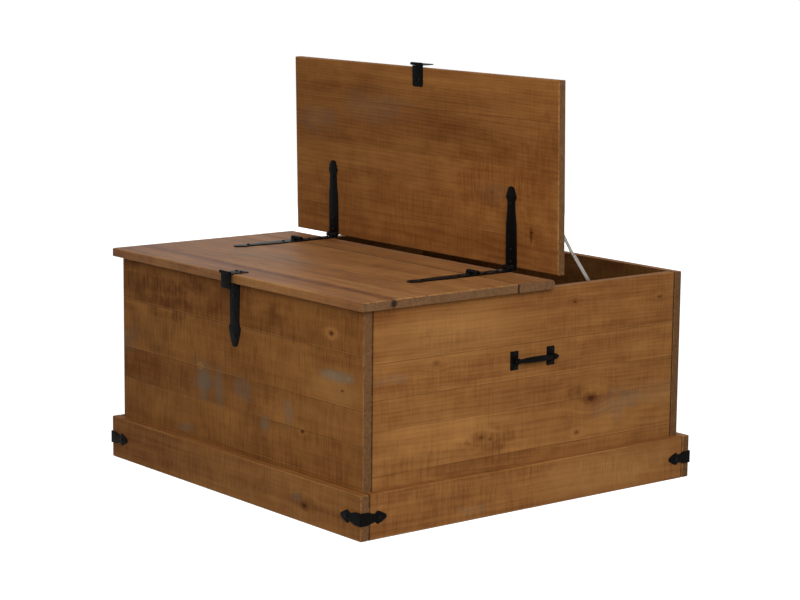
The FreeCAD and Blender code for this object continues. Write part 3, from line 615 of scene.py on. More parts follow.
    def _planks(self, graph: Graph, across: Signal) -> Sockets:
        """Gives each plank of a glued panel its own tone, heart and hue.

        Args:
            graph: The graph to add to.
            across: The place across the grain.

        Returns:
            Three sockets, each constant over one plank.
        """
        chance = random.Random(self.seed)
        low, high = (edge * MM for edge in self.reach)
        share = graph.math("DIVIDE", graph.minus(across, low), high - low, clamp=True)
        edges = [0.0] + [(seam * MM - low) / (high - low) for seam in self.seams]
        stops = [(edge, (chance.random(), chance.random(), chance.random())) for edge in edges]
        if len(stops) == 1:
            stops.append((1.0, stops[0][1]))
        return graph.parts(graph.ramp(share, stops, steps=True))

    def _bend_round_knots(self, graph: Graph, along: Signal, across: Signal,
                          deep: Signal) -> tuple[Signal, ...]:
        """Bends the grain round each knot.

        Args:
            graph: The graph to add to.
            along: The place along the grain.
            across: The place across the grain.
            deep: The place through the board.

        Returns:
            The bent place across the grain, and how much of each knot's pale halo, stained rim
            and dark core there is.
        """
        bent = across
        marks: list[Signal] = [0.0, 0.0, 0.0]
        wobble = graph.noise(graph.vector(along, across, 0.0), 60.0, 2.0)
        for knot in self.knots:
            off = graph.minus(across, knot.across * MM)
            if knot.level is None:
                far = graph.times(graph.minus(along, knot.along * MM), 0.62)
            else:
                far = graph.minus(deep, knot.level * MM)
            radius = knot.radius * MM
            apart = graph.scaled(graph.minus(wobble, 0.5), radius, graph.length(off, far))
            pull = graph.span(apart, radius, radius * 5.5, 0.85, 0.0)
            bent = graph.minus(bent, graph.times(off, pull))
            # Halo, rim and core: the radii over which each fades, and its strength
            spans = ((1.2, 3.4, knot.pale), (0.9, 1.7, knot.dark * 0.7), (0.35, 0.95, knot.dark))
            marks = [graph.larger(mark, graph.span(apart, radius * near, radius * wide, most, 0.0))
                     for mark, (near, wide, most) in zip(marks, spans)]
        return bent, *marks

    def _rings(self, graph: Graph, grain_at: Signal, along: Signal, bent: Signal, deep: Signal,
               pith: Signal, hue: Signal) -> Socket:
        """Cuts the board out of a trunk with growth rings.

        Args:
            graph: The graph to add to.
            grain_at: Where the grain's noise is read.
            along: The place along the grain.
            bent: The place across the grain, bent round the knots.
            deep: The place through the board.
            pith: A number per plank that places its heart.
            hue: A second number per plank.

        Returns:
            How much dark late wood there is, from 0 to 1.
        """
        sway = graph.minus(self._stretched_noise(graph, grain_at, SWAY), 0.5)
        heart = self.reach[0] * MM - 0.06
        aside = graph.minus(bent, graph.scaled(pith, -0.24, heart))
        aside = graph.scaled(along, 0.014, aside)
        below = graph.plus(deep, graph.scaled(hue, 0.10, 0.05))
        below = graph.scaled(along, 0.010, below)
        radius = graph.scaled(sway, 0.016, graph.length(aside, below))
        phase = graph.math("FRACT", graph.math("DIVIDE", radius, self.ring * MM))
        shade = graph.ramp(phase, [(place, (dark,) * 3) for place, dark in RING_SHADES])
        return graph.parts(shade)[0]

    def _saw_marks(self, graph: Graph, along: Signal, across: Signal) -> Socket:
        """Fine marks square to the grain, left by the saw and held by the stain.

        Args:
            graph: The graph to add to.
            along: The place along the grain.
            across: The place across the grain.

        Returns:
            How deep the marks are, from 0 to 1.
        """
        upright = graph.vector(along, graph.times(across, 0.09), 0.0)
        coarse = graph.span(graph.noise(upright, 135.0, 2.0, 0.7), 0.44, 0.62)
        fine = graph.span(graph.noise(upright, 250.0, 2.0, 0.6), 0.46, 0.64)
        where = graph.noise(graph.vector(along, across, 0.7), 14.0, 3.0)
        lines = graph.scaled(fine, 0.6, graph.times(coarse, 0.6))
        return graph.times(lines, graph.span(where, 0.25, 0.55, 0.35, 1.0))

    @staticmethod
    def _shade(graph: Graph, colour: Paint, value: Signal, low: float, high: float) -> Socket:
        """Multiplies a colour by a factor that goes from low to high as the value rises."""
        factor = graph.scaled(value, high - low, low)
        return graph.mix(1.0, colour, graph.vector(factor, factor, factor), "MULTIPLY")

    def _patches(self, graph: Graph, colour: Paint, along: Signal, across: Signal,
                 ragged: Signal, saw: Signal) -> Paint:
        """Lays the patches over a colour, mostly as strokes that follow the saw marks.

        Args:
            graph: The graph to add to.
            colour: The colour underneath.
            along: The place along the grain.
            across: The place across the grain.
            ragged: Noise that breaks up the patches' edges.
            saw: How deep the saw marks are.

        Returns:
            The colour with its patches.
        """
        stroke = graph.scaled(saw, 0.8, 0.6)
        for patch in self.patches:
            far = graph.math("DIVIDE", graph.minus(along, patch.along * MM),
                             patch.length * MM / 2)
            off = graph.math("DIVIDE", graph.minus(across, patch.across * MM),
                             patch.width * MM / 2)
            apart = graph.scaled(graph.minus(ragged, 0.5), 4.5 * patch.ragged,
                                 graph.length(far, off))
            share = graph.times(graph.span(apart, 0.35, 1.30, patch.strength, 0.0), stroke,
                                clamp=True)
            colour = graph.mix(share, colour, patch.tint)
        return colour

    def _seams(self, graph: Graph, colour: Paint, across: Signal,
               uneven: Signal) -> tuple[Paint, Signal]:
        """Draws the glue lines between planks: a dark line with a pale lip above it.

        A seam at a board's bottom edge draws a painted contact shadow there instead.

        Args:
            graph: The graph to add to.
            colour: The colour underneath.
            across: The place across the grain.
            uneven: Noise that makes the lines come and go.

        Returns:
            The colour with its lines, and 1 on a line and 0 off it.
        """
        line: Signal = 0.0
        lip: Signal = 0.0
        for seam in self.seams:
            off = graph.minus(across, seam * MM)
            line = graph.larger(line, graph.span(graph.size(off), 0.2 * MM, 1.1 * MM, 1.0, 0.0))
            above = graph.size(graph.minus(off, 1.9 * MM))
            lip = graph.larger(lip, graph.span(above, 0.4 * MM, 1.3 * MM, 1.0, 0.0))
        dark = graph.times(line, graph.span(uneven, 0.38, 0.60, 0.15, self.seam_dark))
        pale = graph.times(lip, graph.span(uneven, 0.40, 0.55, self.seam_pale, 0.0))
        colour = graph.mix(pale, colour, PALE_STAIN_AND_HIGHLIGHT)
        return graph.mix(dark, colour, SEAM_AND_CONTACT_SHADOW), line


# ---- Metals ----

@dataclass(frozen=True)
class IronFinish:
    """Matt black paint on forged iron, with a faint hammered relief."""

    name: str = "black_forged_iron"
    paint: Colour = srgb(13, 12, 11)
    worn: Colour = srgb(25, 23, 21)
    dimple: float = 260.0
    specular: float = 0.022
    relief: float = 0.3

    def material(self) -> Material:
        """Builds the finish.

        Returns:
            The material.
        """
        graph = Graph.of_material(self.name)
        point = graph.node("ShaderNodeTexCoord").outputs["Object"]
        dimples = graph.noise(point, self.dimple, 2.0, 0.45)
        grit = graph.noise(point, 2600.0, 2.0, 0.6)
        wear = graph.noise(point, 70.0, 4.0, 0.6)
        colour = graph.mix(graph.span(wear, 0.52, 0.78, 0.0, 0.7), self.paint, self.worn)
        rough = graph.scaled(grit, 0.20, 0.26)
        height = graph.scaled(grit, 0.16, dimples)
        return graph.finish(colour, rough, height, self.relief,
                            {"Specular IOR Level": self.specular})


@dataclass(frozen=True)
class SteelFinish:
    """Zinc-plated steel with a fine grain."""

    name: str = "zinc_plated_steel"
    zinc: Colour = srgb(170, 164, 156)
    dull: Colour = srgb(116, 111, 104)
    metallic: float = 0.75
    relief: float = 0.08

    def material(self) -> Material:
        """Builds the finish.

        Returns:
            The material.
        """
        graph = Graph.of_material(self.name)
        point = graph.node("ShaderNodeTexCoord").outputs["Object"]
        speck = graph.noise(point, 1500.0, 3.0, 0.7)
        cloud = graph.noise(point, 120.0, 3.0, 0.6)
        colour = graph.mix(graph.span(speck, 0.40, 0.66), self.zinc, self.dull)
        colour = graph.mix(graph.span(cloud, 0.45, 0.75, 0.0, 0.4), colour, self.dull)
        rough = graph.scaled(speck, 0.30, 0.26)
        return graph.finish(colour, rough, speck, self.relief, {"Metallic": self.metallic})


# ---- Wooden pieces ----

@dataclass
class Woodwork:
    """The boards of the trunk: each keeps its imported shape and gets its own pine."""

    panel_reach: tuple[float, float] = (5.0, BODY_TOP)
    plinth_reach: tuple[float, float] = (0.0, 85.0)
    lid_inset: float = 47.0
    board_half: float = 45.5
    cleat_reach: tuple[float, float] = (40.0, 60.0)
    block_reach: tuple[float, float] = (399.0, LID_UNDERSIDE)
    # How dark the painted shade on the panels' inner faces is
    inside_painted_shade: float = 0.42

    def dress(self) -> None:
        """Gives every wooden node its finish."""
        finishes = {**self._panels(), **self._plinth(), **self._top(), **self._inside()}
        for node, finish in finishes.items():
            paint(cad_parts[node], finish.material())
            LOG.info("%s: %s", node, finish.name)

    def _panels(self) -> dict[str, PineFinish]:
        """The four panels of the box, each glued up from planks.

        Returns:
            The finishes by node name.
        """
        reach, inside = self.panel_reach, self.inside_painted_shade
        front = PineFinish(
            "pine_front_panel", Axis.X, Axis.Z, reach, seams=(92.0, 168.0, 233.0, 332.0),
            pale=srgb(171, 117, 62), deep=srgb(102, 58, 25),
            knots=(Knot(305.0, 363.0, 5.0, 0.85, 0.95), Knot(338.0, 262.0, 2.2, 0.8),
                   Knot(217.0, 165.0, 3.6, 0.9, 0.5), Knot(-120.0, 236.0, 3.0, 0.2, 1.0)),
            patches=(Patch(324.0, 286.0, 108.0, 24.0, 0.78, GREY_STAIN, 0.14),
                     Patch(318.0, 262.0, 150.0, 70.0, 0.22, PALE_STAIN_AND_HIGHLIGHT, 0.5),
                     Patch(-112.0, 205.0, 60.0, 84.0, 0.48, GREY_STAIN, 0.5),
                     Patch(-55.0, 203.0, 36.0, 74.0, 0.42, GREY_STAIN, 0.5),
                     Patch(20.0, 212.0, 60.0, 50.0, 0.28, GREY_STAIN, 0.5),
                     Patch(-380.0, 250.0, 60.0, 70.0, 0.20, GREY_STAIN, 0.5),
                     Patch(172.0, 193.0, 34.0, 60.0, 0.38, GREY_STAIN, 0.4),
                     Patch(100.0, 160.0, 30.0, 34.0, 0.38, GREY_STAIN, 0.4),
                     Patch(-170.0, 104.0, 56.0, 24.0, 0.38, GREY_STAIN, 0.5),
                     # Painted shade: dark patches at the top, under the lid's overhang, and on the
                     # left of the front
                     Patch(-300.0, 362.0, 330.0, 80.0, 0.52, DARK_STAIN_AND_SHADE),
                     Patch(-310.0, 285.0, 220.0, 90.0, 0.20, DARK_STAIN_AND_SHADE, 0.6),
                     Patch(-40.0, 385.0, 330.0, 50.0, 0.35, DARK_STAIN_AND_SHADE)),
            saw_marks=0.72, rings=0.05, streaking=0.6, fibre=0.10, mottling=1.15, seed=11,
            inner_painted_shade=inside)
        rear = PineFinish(
            "pine_rear_panel", Axis.X, Axis.Z, reach, seams=(80.0, 171.0, 262.0, 344.0),
            knots=(Knot(-210.0, 301.0, 6.5), Knot(160.0, 126.0, 5.0)),
            patches=(Patch(80.0, 300.0, 120.0, 40.0, 0.3, GREY_STAIN),),
            saw_marks=0.8, seed=12, inner_painted_shade=inside)
        right = PineFinish(
            "pine_right_panel", Axis.Y, Axis.Z, reach, seams=(110.0, 193.0, 250.0, 317.0),
            knots=(Knot(158.0, 190.0, 9.5, 0.75, 0.2), Knot(-120.0, 149.0, 5.0, 0.45),
                   Knot(-98.0, 143.0, 3.0, 0.4), Knot(112.0, 384.0, 3.2, 0.6),
                   Knot(124.0, 127.0, 4.0, 0.5), Knot(-232.0, 304.0, 5.0, 0.3),
                   Knot(340.0, 372.0, 3.5, 0.5)),
            patches=(Patch(150.0, 190.0, 120.0, 40.0, 0.30, DARK_STAIN_AND_SHADE),
                     Patch(-110.0, 146.0, 110.0, 56.0, 0.30, DARK_STAIN_AND_SHADE),
                     Patch(215.0, 168.0, 130.0, 50.0, 0.17, GREY_STAIN),
                     Patch(330.0, 180.0, 170.0, 50.0, 0.10, GREY_STAIN),
                     Patch(-200.0, 112.0, 330.0, 70.0, 0.22, DARK_STAIN_AND_SHADE, 0.6),
                     Patch(-190.0, 360.0, 340.0, 110.0, 0.20, PALE_STAIN_AND_HIGHLIGHT, 0.4),
                     Patch(-330.0, 287.0, 80.0, 18.0, 0.2, GREY_STAIN)),
            saw_marks=0.40, fibre=0.16, seed=13, inner_painted_shade=inside, joint=INNER_END)
        left = PineFinish(
            "pine_left_panel", Axis.Y, Axis.Z, reach, seams=(96.0, 176.0, 258.0, 340.0),
            knots=(Knot(-180.0, 214.0, 6.0), Knot(90.0, 372.0, 4.0, 0.6)),
            saw_marks=0.5, seed=14, inner_painted_shade=inside, joint=INNER_END)
        return {"front_panel": front, "rear_panel": rear, "right_panel": right,
                "left_panel": left}

    def _plinth(self) -> dict[str, PineFinish]:
        """The four single boards of the plinth.

        Returns:
            The finishes by node name.
        """
        reach = self.plinth_reach
        # The seam at 0.6 mm is a painted contact shadow along the bottom edge
        front = PineFinish("pine_front_plinth", Axis.X, Axis.Z, reach, seams=(0.6,),
                           knots=(Knot(247.0, 33.0, 7.0, 0.8),),
                           patches=(Patch(232.0, 40.0, 60.0, 26.0, 0.4, DARK_STAIN_AND_SHADE, 0.4),
                                    Patch(226.0, 44.0, 40.0, 20.0, 0.3, GREY_STAIN, 0.5)),
                           saw_marks=0.65, rings=0.06, fibre=0.16, seed=21)
        rear = PineFinish("pine_rear_plinth", Axis.X, Axis.Z, reach,
                          knots=(Knot(-120.0, 46.0, 5.0),), saw_marks=0.8, seed=22)
        # The seam at 0.6 mm is a painted contact shadow along the bottom edge
        right = PineFinish("pine_right_plinth", Axis.Y, Axis.Z, reach, seams=(0.6,),
                           patches=(Patch(318.0, 45.0, 26.0, 30.0, 0.35, DARK_STAIN_AND_SHADE),
                                    Patch(190.0, 45.0, 380.0, 90.0, 0.33, PALE_STAIN_AND_HIGHLIGHT, 0.4),
                                    Patch(-290.0, 42.0, 260.0, 90.0, 0.14, DARK_STAIN_AND_SHADE, 0.4),
                                    Patch(-170.0, 20.0, 60.0, 20.0, 0.25, GREY_STAIN)),
                           saw_marks=0.65, fibre=0.16, seed=23, joint=HALF_BOX)
        left = PineFinish("pine_left_plinth", Axis.Y, Axis.Z, reach,
                          knots=(Knot(60.0, 52.0, 4.0),), saw_marks=0.7, seed=24,
                          joint=HALF_BOX)
        return {"front_plinth": front, "rear_plinth": rear, "right_plinth": right,
                "left_plinth": left}

    def _top(self) -> dict[str, PineFinish]:
        """The two lids and the board between them.

        Returns:
            The finishes by node name.
        """
        front = PineFinish(
            "pine_front_lid", Axis.X, Axis.Y, (-LID_EDGE, -self.lid_inset),
            seams=(-344.0, -285.0, -214.0, -150.0, -98.0),
            knots=(Knot(235.0, -215.0, 3.0, 0.5),
                   Knot(LID_EDGE, -344.0, 11.0, 1.0, level=427.0)),
            patches=(Patch(-120.0, -220.0, 300.0, 60.0, 0.25, GREY_STAIN),),
            saw_marks=0.3, mottling=1.3, streaking=1.45, seed=31, specular=0.14,
            worn=0.25, seam_dark=0.35, seam_pale=0.40, gap=-self.lid_inset)
        rear = PineFinish(
            "pine_rear_lid", Axis.X, Axis.Y, (self.lid_inset, LID_EDGE),
            seams=(108.0, 243.0, 335.0),
            knots=(Knot(340.0, 120.0, 3.0, 0.8), Knot(226.0, 186.0, 4.0, 0.2)),
            patches=(Patch(234.0, 186.0, 90.0, 40.0, 0.22, GREY_STAIN),
                     Patch(-340.0, 290.0, 130.0, 60.0, 0.20, GREY_STAIN, 0.5),
                     Patch(-130.0, 325.0, 220.0, 70.0, 0.16, GREY_STAIN, 0.5),
                     Patch(250.0, 215.0, 330.0, 140.0, 0.45, RUSTY_STAIN, 0.5),
                     Patch(20.0, 110.0, 900.0, 170.0, 0.30, RUSTY_STAIN, 0.5),
                     Patch(378.0, 232.0, 110.0, 330.0, 0.32, RUSTY_STAIN, 0.3),
                     Patch(340.0, 116.0, 10.0, 38.0, 0.85, DARK_STAIN_AND_SHADE, 0.2)),
            saw_marks=0.28, rings=0.15, mottling=0.9, ring=4.6, pale=srgb(172, 117, 62),
            deep=srgb(108, 62, 29), seam_dark=0.3, seam_pale=0.1, seed=32, swung=True)
        middle = PineFinish("pine_centre_board", Axis.X, Axis.Y,
                            (-self.board_half, self.board_half), saw_marks=0.3, streaking=1.5,
                            seed=33, specular=0.14, gap=-self.board_half)
        return {"front_lid": front, "rear_lid": rear, "centre_board": middle}

    def _inside(self) -> dict[str, PineFinish]:
        """The bottom, its cleats and the blocks under the centre board.

        Returns:
            The finishes by node name.
        """
        bottom = PineFinish("pine_bottom", Axis.X, Axis.Y, (-INNER_END, INNER_END),
                            seams=(-290.0, -194.0, -98.0, 0.0, 98.0, 194.0, 290.0), seed=41)
        cleats = PineFinish("pine_cleats", Axis.X, Axis.Z, self.cleat_reach, seed=42)
        blocks = PineFinish("pine_blocks", Axis.Y, Axis.Z, self.block_reach, seed=43)
        return {"bottom_panel": bottom, "bottom_cleats": cleats, "centre_board_blocks": blocks}


def paint(obj: bpy.types.Object, material: Material) -> None:
    """Gives an object one material all over.

    Args:
        obj: The object.
        material: Its material.
    """
    if not obj.material_slots:
        obj.data.materials.append(material)
    for place in obj.material_slots:
        place.link = "OBJECT"
        place.material = material


# ---- Mesh making ----

# The angles in degrees at which a plate's rounded edge has points
EDGE_TURNS = (0.0, 30.0, 60.0, 90.0)

# The angle in degrees from which an edge on a screw or rivet head is sharp
HEAD_CREASE = 40.0

# The points round a screw or a rivet
ROUND_SIDES = 24

# Domed heads, as pairs of height and radius: shares of a rivet head's own height and radius, and
# shares of the radius of a pin's head
RIVET_DOME = ((0.0, 1.0), (0.45, 0.93), (0.80, 0.68), (0.96, 0.36), (1.0, 0.10))
PIN_DOME = ((0.0, 0.30), (0.12, 0.66), (0.30, 0.88), (0.55, 1.0))
PIN_CHAMFER = 0.3

# The angle in degrees at which a knuckle leaves its leaf
KNUCKLE_START = -104.0


def spot(x: float, y: float) -> Vector:
    """A point or a direction in the XY plane."""
    return Vector((x, y, 0.0))


def bowed(start: Vector, end: Vector, bow: float, steps: int = 8) -> list[Vector]:
    """Points from start almost to end, on an arc to the right of its chord.

    Args:
        start: The first point.
        end: The point after the last.
        bow: How far the arc stands out, as a share of the chord.
        steps: The number of points.

    Returns:
        The points of the arc.
    """
    chord = end - start
    outward = spot(chord.y, -chord.x)
    sweep = 4 * math.atan(2 * bow)
    centre = (start + end) / 2 - outward * (0.5 / math.tan(sweep / 2))
    spoke = start - centre
    return [centre + Matrix.Rotation(sweep * step / steps, 3, "Z") @ spoke
            for step in range(steps)]


def rounded(corners: Sequence[tuple[float, float, float]], steps: int = 4) -> list[Vector]:
    """A flat outline with rounded corners.

    Args:
        corners: The x, y and rounding radius of each corner, counter-clockwise.
        steps: The number of chords in each rounded corner.

    Returns:
        The outline's points.
    """
    outline: list[Vector] = []
    for i, (x, y, radius) in enumerate(corners):
        here = spot(x, y)
        before = (spot(*corners[i - 1][:2]) - here).normalized()
        after = (spot(*corners[(i + 1) % len(corners)][:2]) - here).normalized()
        if radius <= 0.0:
            outline.append(here)
            continue
        half = before.angle(after) / 2
        reach = radius / math.tan(half)
        centre = here + (before + after).normalized() * (radius / math.sin(half))
        first = here + before * reach - centre
        last = here + after * reach - centre
        turn = first.angle(last)
        side = 1.0 if first.cross(last).z > 0 else -1.0
        outline += [centre + Matrix.Rotation(side * turn * step / steps, 3, "Z") @ first
                    for step in range(steps + 1)]
    return outline


def inset(points: Sequence[Vector], distance: float) -> list[Vector]:
    """Draws a flat outline in by a distance all round.

    Args:
        points: The outline, counter-clockwise in the XY plane.
        distance: How far it is drawn in.

    Returns:
        The smaller outline.
    """
    smaller = []
    for i, point in enumerate(points):
        before = (point - points[i - 1]).normalized()
        after = (points[(i + 1) % len(points)] - point).normalized()
        first = spot(-before.y, before.x)
        second = spot(-after.y, after.x)
        smaller.append(point + (first + second) * (distance / (1 + first.dot(second))))
    return smaller


def circle(radius: float, sides: int = 32, height: float = 0.0) -> list[Vector]:
    """The points of a circle about the Z axis, counter-clockwise."""
    return [Vector((radius * math.cos(math.tau * i / sides),
                    radius * math.sin(math.tau * i / sides), height)) for i in range(sides)]


def arc_points(radius: float, start: float, end: float, step: float = 11.0) -> list[Vector]:
    """Points on an arc about the origin of the XY plane.

    Args:
        radius: The arc's radius.
        start: The first angle in degrees.
        end: The last angle in degrees.
        step: The largest angle between two points.

    Returns:
        The points from start to end.
    """
    count = max(1, math.ceil(abs(end - start) / step))
    angles = [math.radians(start + (end - start) * i / count) for i in range(count + 1)]
    return [spot(radius * math.cos(angle), radius * math.sin(angle)) for angle in angles]


def frame_at(origin: Vector, out: Vector, aside: Vector) -> Matrix:
    """The move that takes Z to one direction, X to another and the origin to a point."""
    basis = Matrix((aside, out.cross(aside), out)).transposed().to_4x4()
    return Matrix.Translation(origin) @ basis


class Form:
    """A piece in the making: solids in millimetres, joined into one mesh."""

    def __init__(self) -> None:
        """Starts with nothing."""
        self.mesh = bmesh.new()

    def sides(self, rings: Sequence[Sequence[Vector]],
              move: Matrix = Matrix()) -> list[list[bmesh.types.BMVert]]:
        """Joins rings of as many points by faces.

        Args:
            rings: The rings, from the first to the last.
            move: Where they go.

        Returns:
            The rings' new points.
        """
        made = [[self.mesh.verts.new(move @ point) for point in ring] for ring in rings]
        for low, high in zip(made, made[1:]):
            for i in range(len(low)):
                self.mesh.faces.new((low[i - 1], low[i], high[i], high[i - 1]))
        return made

    def skin(self, rings: Sequence[Sequence[Vector]], move: Matrix = Matrix()) -> "Form":
        """Adds a solid whose sides join rings and whose ends are flat.

        Args:
            rings: The rings, from the first to the last.
            move: Where the solid goes.

        Returns:
            This form.
        """
        made = self.sides(rings, move)
        self.mesh.faces.new(tuple(reversed(made[0])))
        self.mesh.faces.new(tuple(made[-1]))
        return self

    def lathe(self, profile: Sequence[tuple[float, float]], move: Matrix = Matrix(),
              sides: int = 32) -> "Form":
        """Adds a turned solid about the Z axis, from pairs of height and radius."""
        return self.skin([circle(radius, sides, height) for height, radius in profile], move)

    def plate(self, outline: Sequence[Vector], thickness: float, edge: float,
              move: Matrix = Matrix()) -> "Form":
        """Adds a forged plate: flat underneath, with its top edge rounded.

        Args:
            outline: The plate's outline in the XY plane, counter-clockwise.
            thickness: Its thickness along Z.
            edge: The radius of its top edge.
            move: Where the plate goes.

        Returns:
            This form.
        """
        rings = [list(outline)]
        for turn in EDGE_TURNS:
            angle = math.radians(turn)
            lift = UP * (thickness - edge + edge * math.sin(angle))
            ring = inset(outline, edge * (1 - math.cos(angle)))
            rings.append([point + lift for point in ring])
        return self.skin(rings, move)

    def bar(self, outline: Sequence[Vector], length: float, move: Matrix = Matrix()) -> "Form":
        """Adds a bar of one cross-section along Z."""
        far = [point + UP * length for point in outline]
        return self.skin([list(outline), far], move)

    def take(self, other: "Form") -> None:
        """Adds another form's solids to this one and uses the other up.

        Args:
            other: The form that is used up.
        """
        spare = bpy.data.meshes.new("spare")
        other.mesh.to_mesh(spare)
        other.mesh.free()
        self.mesh.from_mesh(spare)
        bpy.data.meshes.remove(spare)

    def moved(self, move: Matrix) -> "Form":
        """Moves everything made so far."""
        bmesh.ops.transform(self.mesh, matrix=move, verts=self.mesh.verts)
        return self

    def piece(self, name: str, body: str, slot: Slot, material: Material,
              nodes: Iterable[str], edge: float = 0.2, crease: float = 32.0) -> bpy.types.Object:
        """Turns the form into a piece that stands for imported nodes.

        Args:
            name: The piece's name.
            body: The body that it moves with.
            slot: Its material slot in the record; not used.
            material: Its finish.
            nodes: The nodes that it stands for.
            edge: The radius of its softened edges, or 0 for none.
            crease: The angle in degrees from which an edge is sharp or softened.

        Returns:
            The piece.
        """
        sharp = math.radians(crease)
        bmesh.ops.transform(self.mesh, matrix=Matrix.Scale(MM, 4), verts=self.mesh.verts)
        bmesh.ops.recalc_face_normals(self.mesh, faces=self.mesh.faces)
        for face in self.mesh.faces:
            face.smooth = True
        for line in self.mesh.edges:
            if len(line.link_faces) == 2 and line.calc_face_angle(0.0) > sharp:
                line.smooth = False
        data = bpy.data.meshes.new(name)
        self.mesh.to_mesh(data)
        self.mesh.free()
        made = bpy.data.objects.new(name, data)
        bpy.context.scene.collection.objects.link(made)
        if edge:
            soft = made.modifiers.new("soft_edges", "BEVEL")
            soft.width = edge * MM
            soft.segments = 2
            soft.limit_method = "ANGLE"
            soft.angle_limit = sharp
            soft.use_clamp_overlap = True
        paint(made, material)
        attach(made, body)
        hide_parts(*nodes)
        LOG.info("%s: %d faces, on %s", name, len(data.polygons), body)
        return made


# ---- Ironwork ----

class Half(Enum):
    """The front half of the trunk, whose lid is shut, and the rear half, whose lid is open."""

    FRONT = "front"
    REAR = "rear"

    @property
    def box_move(self) -> Matrix:
        """Takes a piece made for the rear half of the box to its own half."""
        return Matrix.Scale(-1.0, 4, ALONG_Y) if self is Half.FRONT else Matrix()

    @property
    def lid_move(self) -> Matrix:
        """Takes a piece made for the shut rear lid to where this half's lid is.

        Returns:
            The move.
        """
        if self is Half.FRONT:
            return self.box_move
        axis = Vector((0.0, HINGE_Y, HINGE_Z))
        turn = Matrix.Rotation(math.radians(OPEN_ANGLE), 4, "X")
        return Matrix.Translation(axis) @ turn @ Matrix.Translation(-axis)

    @property
    def lid(self) -> str:
        """The body of this half's lid."""
        return self.value + "_lid"


class Side(Enum):
    """The left and the right of the trunk, as seen from the front."""

    LEFT = "left"
    RIGHT = "right"

    @property
    def sign(self) -> float:
        """-1 for the left and 1 for the right."""
        return -1.0 if self is Side.LEFT else 1.0

    @property
    def move(self) -> Matrix:
        """Takes a piece made for the right end to its own end."""
        return Matrix.Scale(-1.0, 4, ALONG_X) if self is Side.LEFT else Matrix()


@dataclass(frozen=True)
class Spear:
    """The outline of a spear-ended strap along +Y; pairs are a width and its distance."""

    start: float
    root: float
    neck: tuple[float, float]
    finial: tuple[float, float]
    length: float
    tip: float
    shoulder: tuple[float, float] | None = None
    taper_bow: float = -0.02
    flare_bow: float = -0.10
    blade_bow: float = 0.04
    tip_bow: float = 0.15

    def outline(self) -> list[Vector]:
        """Draws the outline.

        Returns:
            Its points, counter-clockwise.
        """
        root = spot(self.root / 2, self.start)
        neck = spot(self.neck[0] / 2, self.neck[1])
        finial = spot(self.finial[0] / 2, self.finial[1])
        tip = spot(self.tip / 2, self.length - self.tip * self.tip_bow)
        right = [root]
        if self.shoulder:
            shoulder = spot(self.shoulder[0] / 2, self.shoulder[1])
            right += bowed(shoulder, neck, self.taper_bow)
        right += bowed(neck, finial, self.flare_bow) + bowed(finial, tip, self.blade_bow) + [tip]
        left = [spot(-point.x, point.y) for point in reversed(right)]
        return right + bowed(right[-1], left[0], self.tip_bow)[1:] + left


@dataclass(frozen=True)
class Screw:
    """A low-domed wood screw with a cross recess; only its head shows."""

    radius: float = 3.3
    height: float = 2.3
    socket: float = 2.1
    gap: float = 0.36
    depth: float = 0.95
    sunk: float = 0.2
    rim_share: float = 0.84
    dome: tuple[tuple[float, float], ...] = ((0.0, 1.0), (0.32, 1.0), (0.68, 0.93), (0.92, 0.80))

    def add(self, form: Form, seat: Vector, out: Vector, aside: Vector) -> None:
        """Adds a screw head to a form.

        Args:
            form: The form.
            seat: The middle of the head's underside.
            out: The way that the head points.
            aside: The way that one arm of its recess points.
        """
        move = frame_at(seat, out, aside)
        rim = self.height * self.rim_share
        floor = self.height - self.depth
        dome = [(rim * up, self.radius * wide) for up, wide in self.dome]
        form.lathe([(-self.sunk, self.radius * 0.9), *dome, (rim, self.socket),
                    (floor, self.socket * 0.97)], move, ROUND_SIDES)
        reach = math.sqrt(self.socket ** 2 - self.gap ** 2)
        start = math.degrees(math.atan2(self.gap, reach))
        for quarter in range(4):
            turn = move @ Matrix.Rotation(math.radians(90.0 * quarter), 4, "Z")
            corner = spot(self.gap, self.gap)
            outline = [corner] + arc_points(self.socket, start, 90.0 - start, 20.0)
            crown = [point + UP * rim for point in outline]
            crown[0].z = self.height
            low = [point + UP * floor for point in outline]
            form.skin([low, crown], turn)


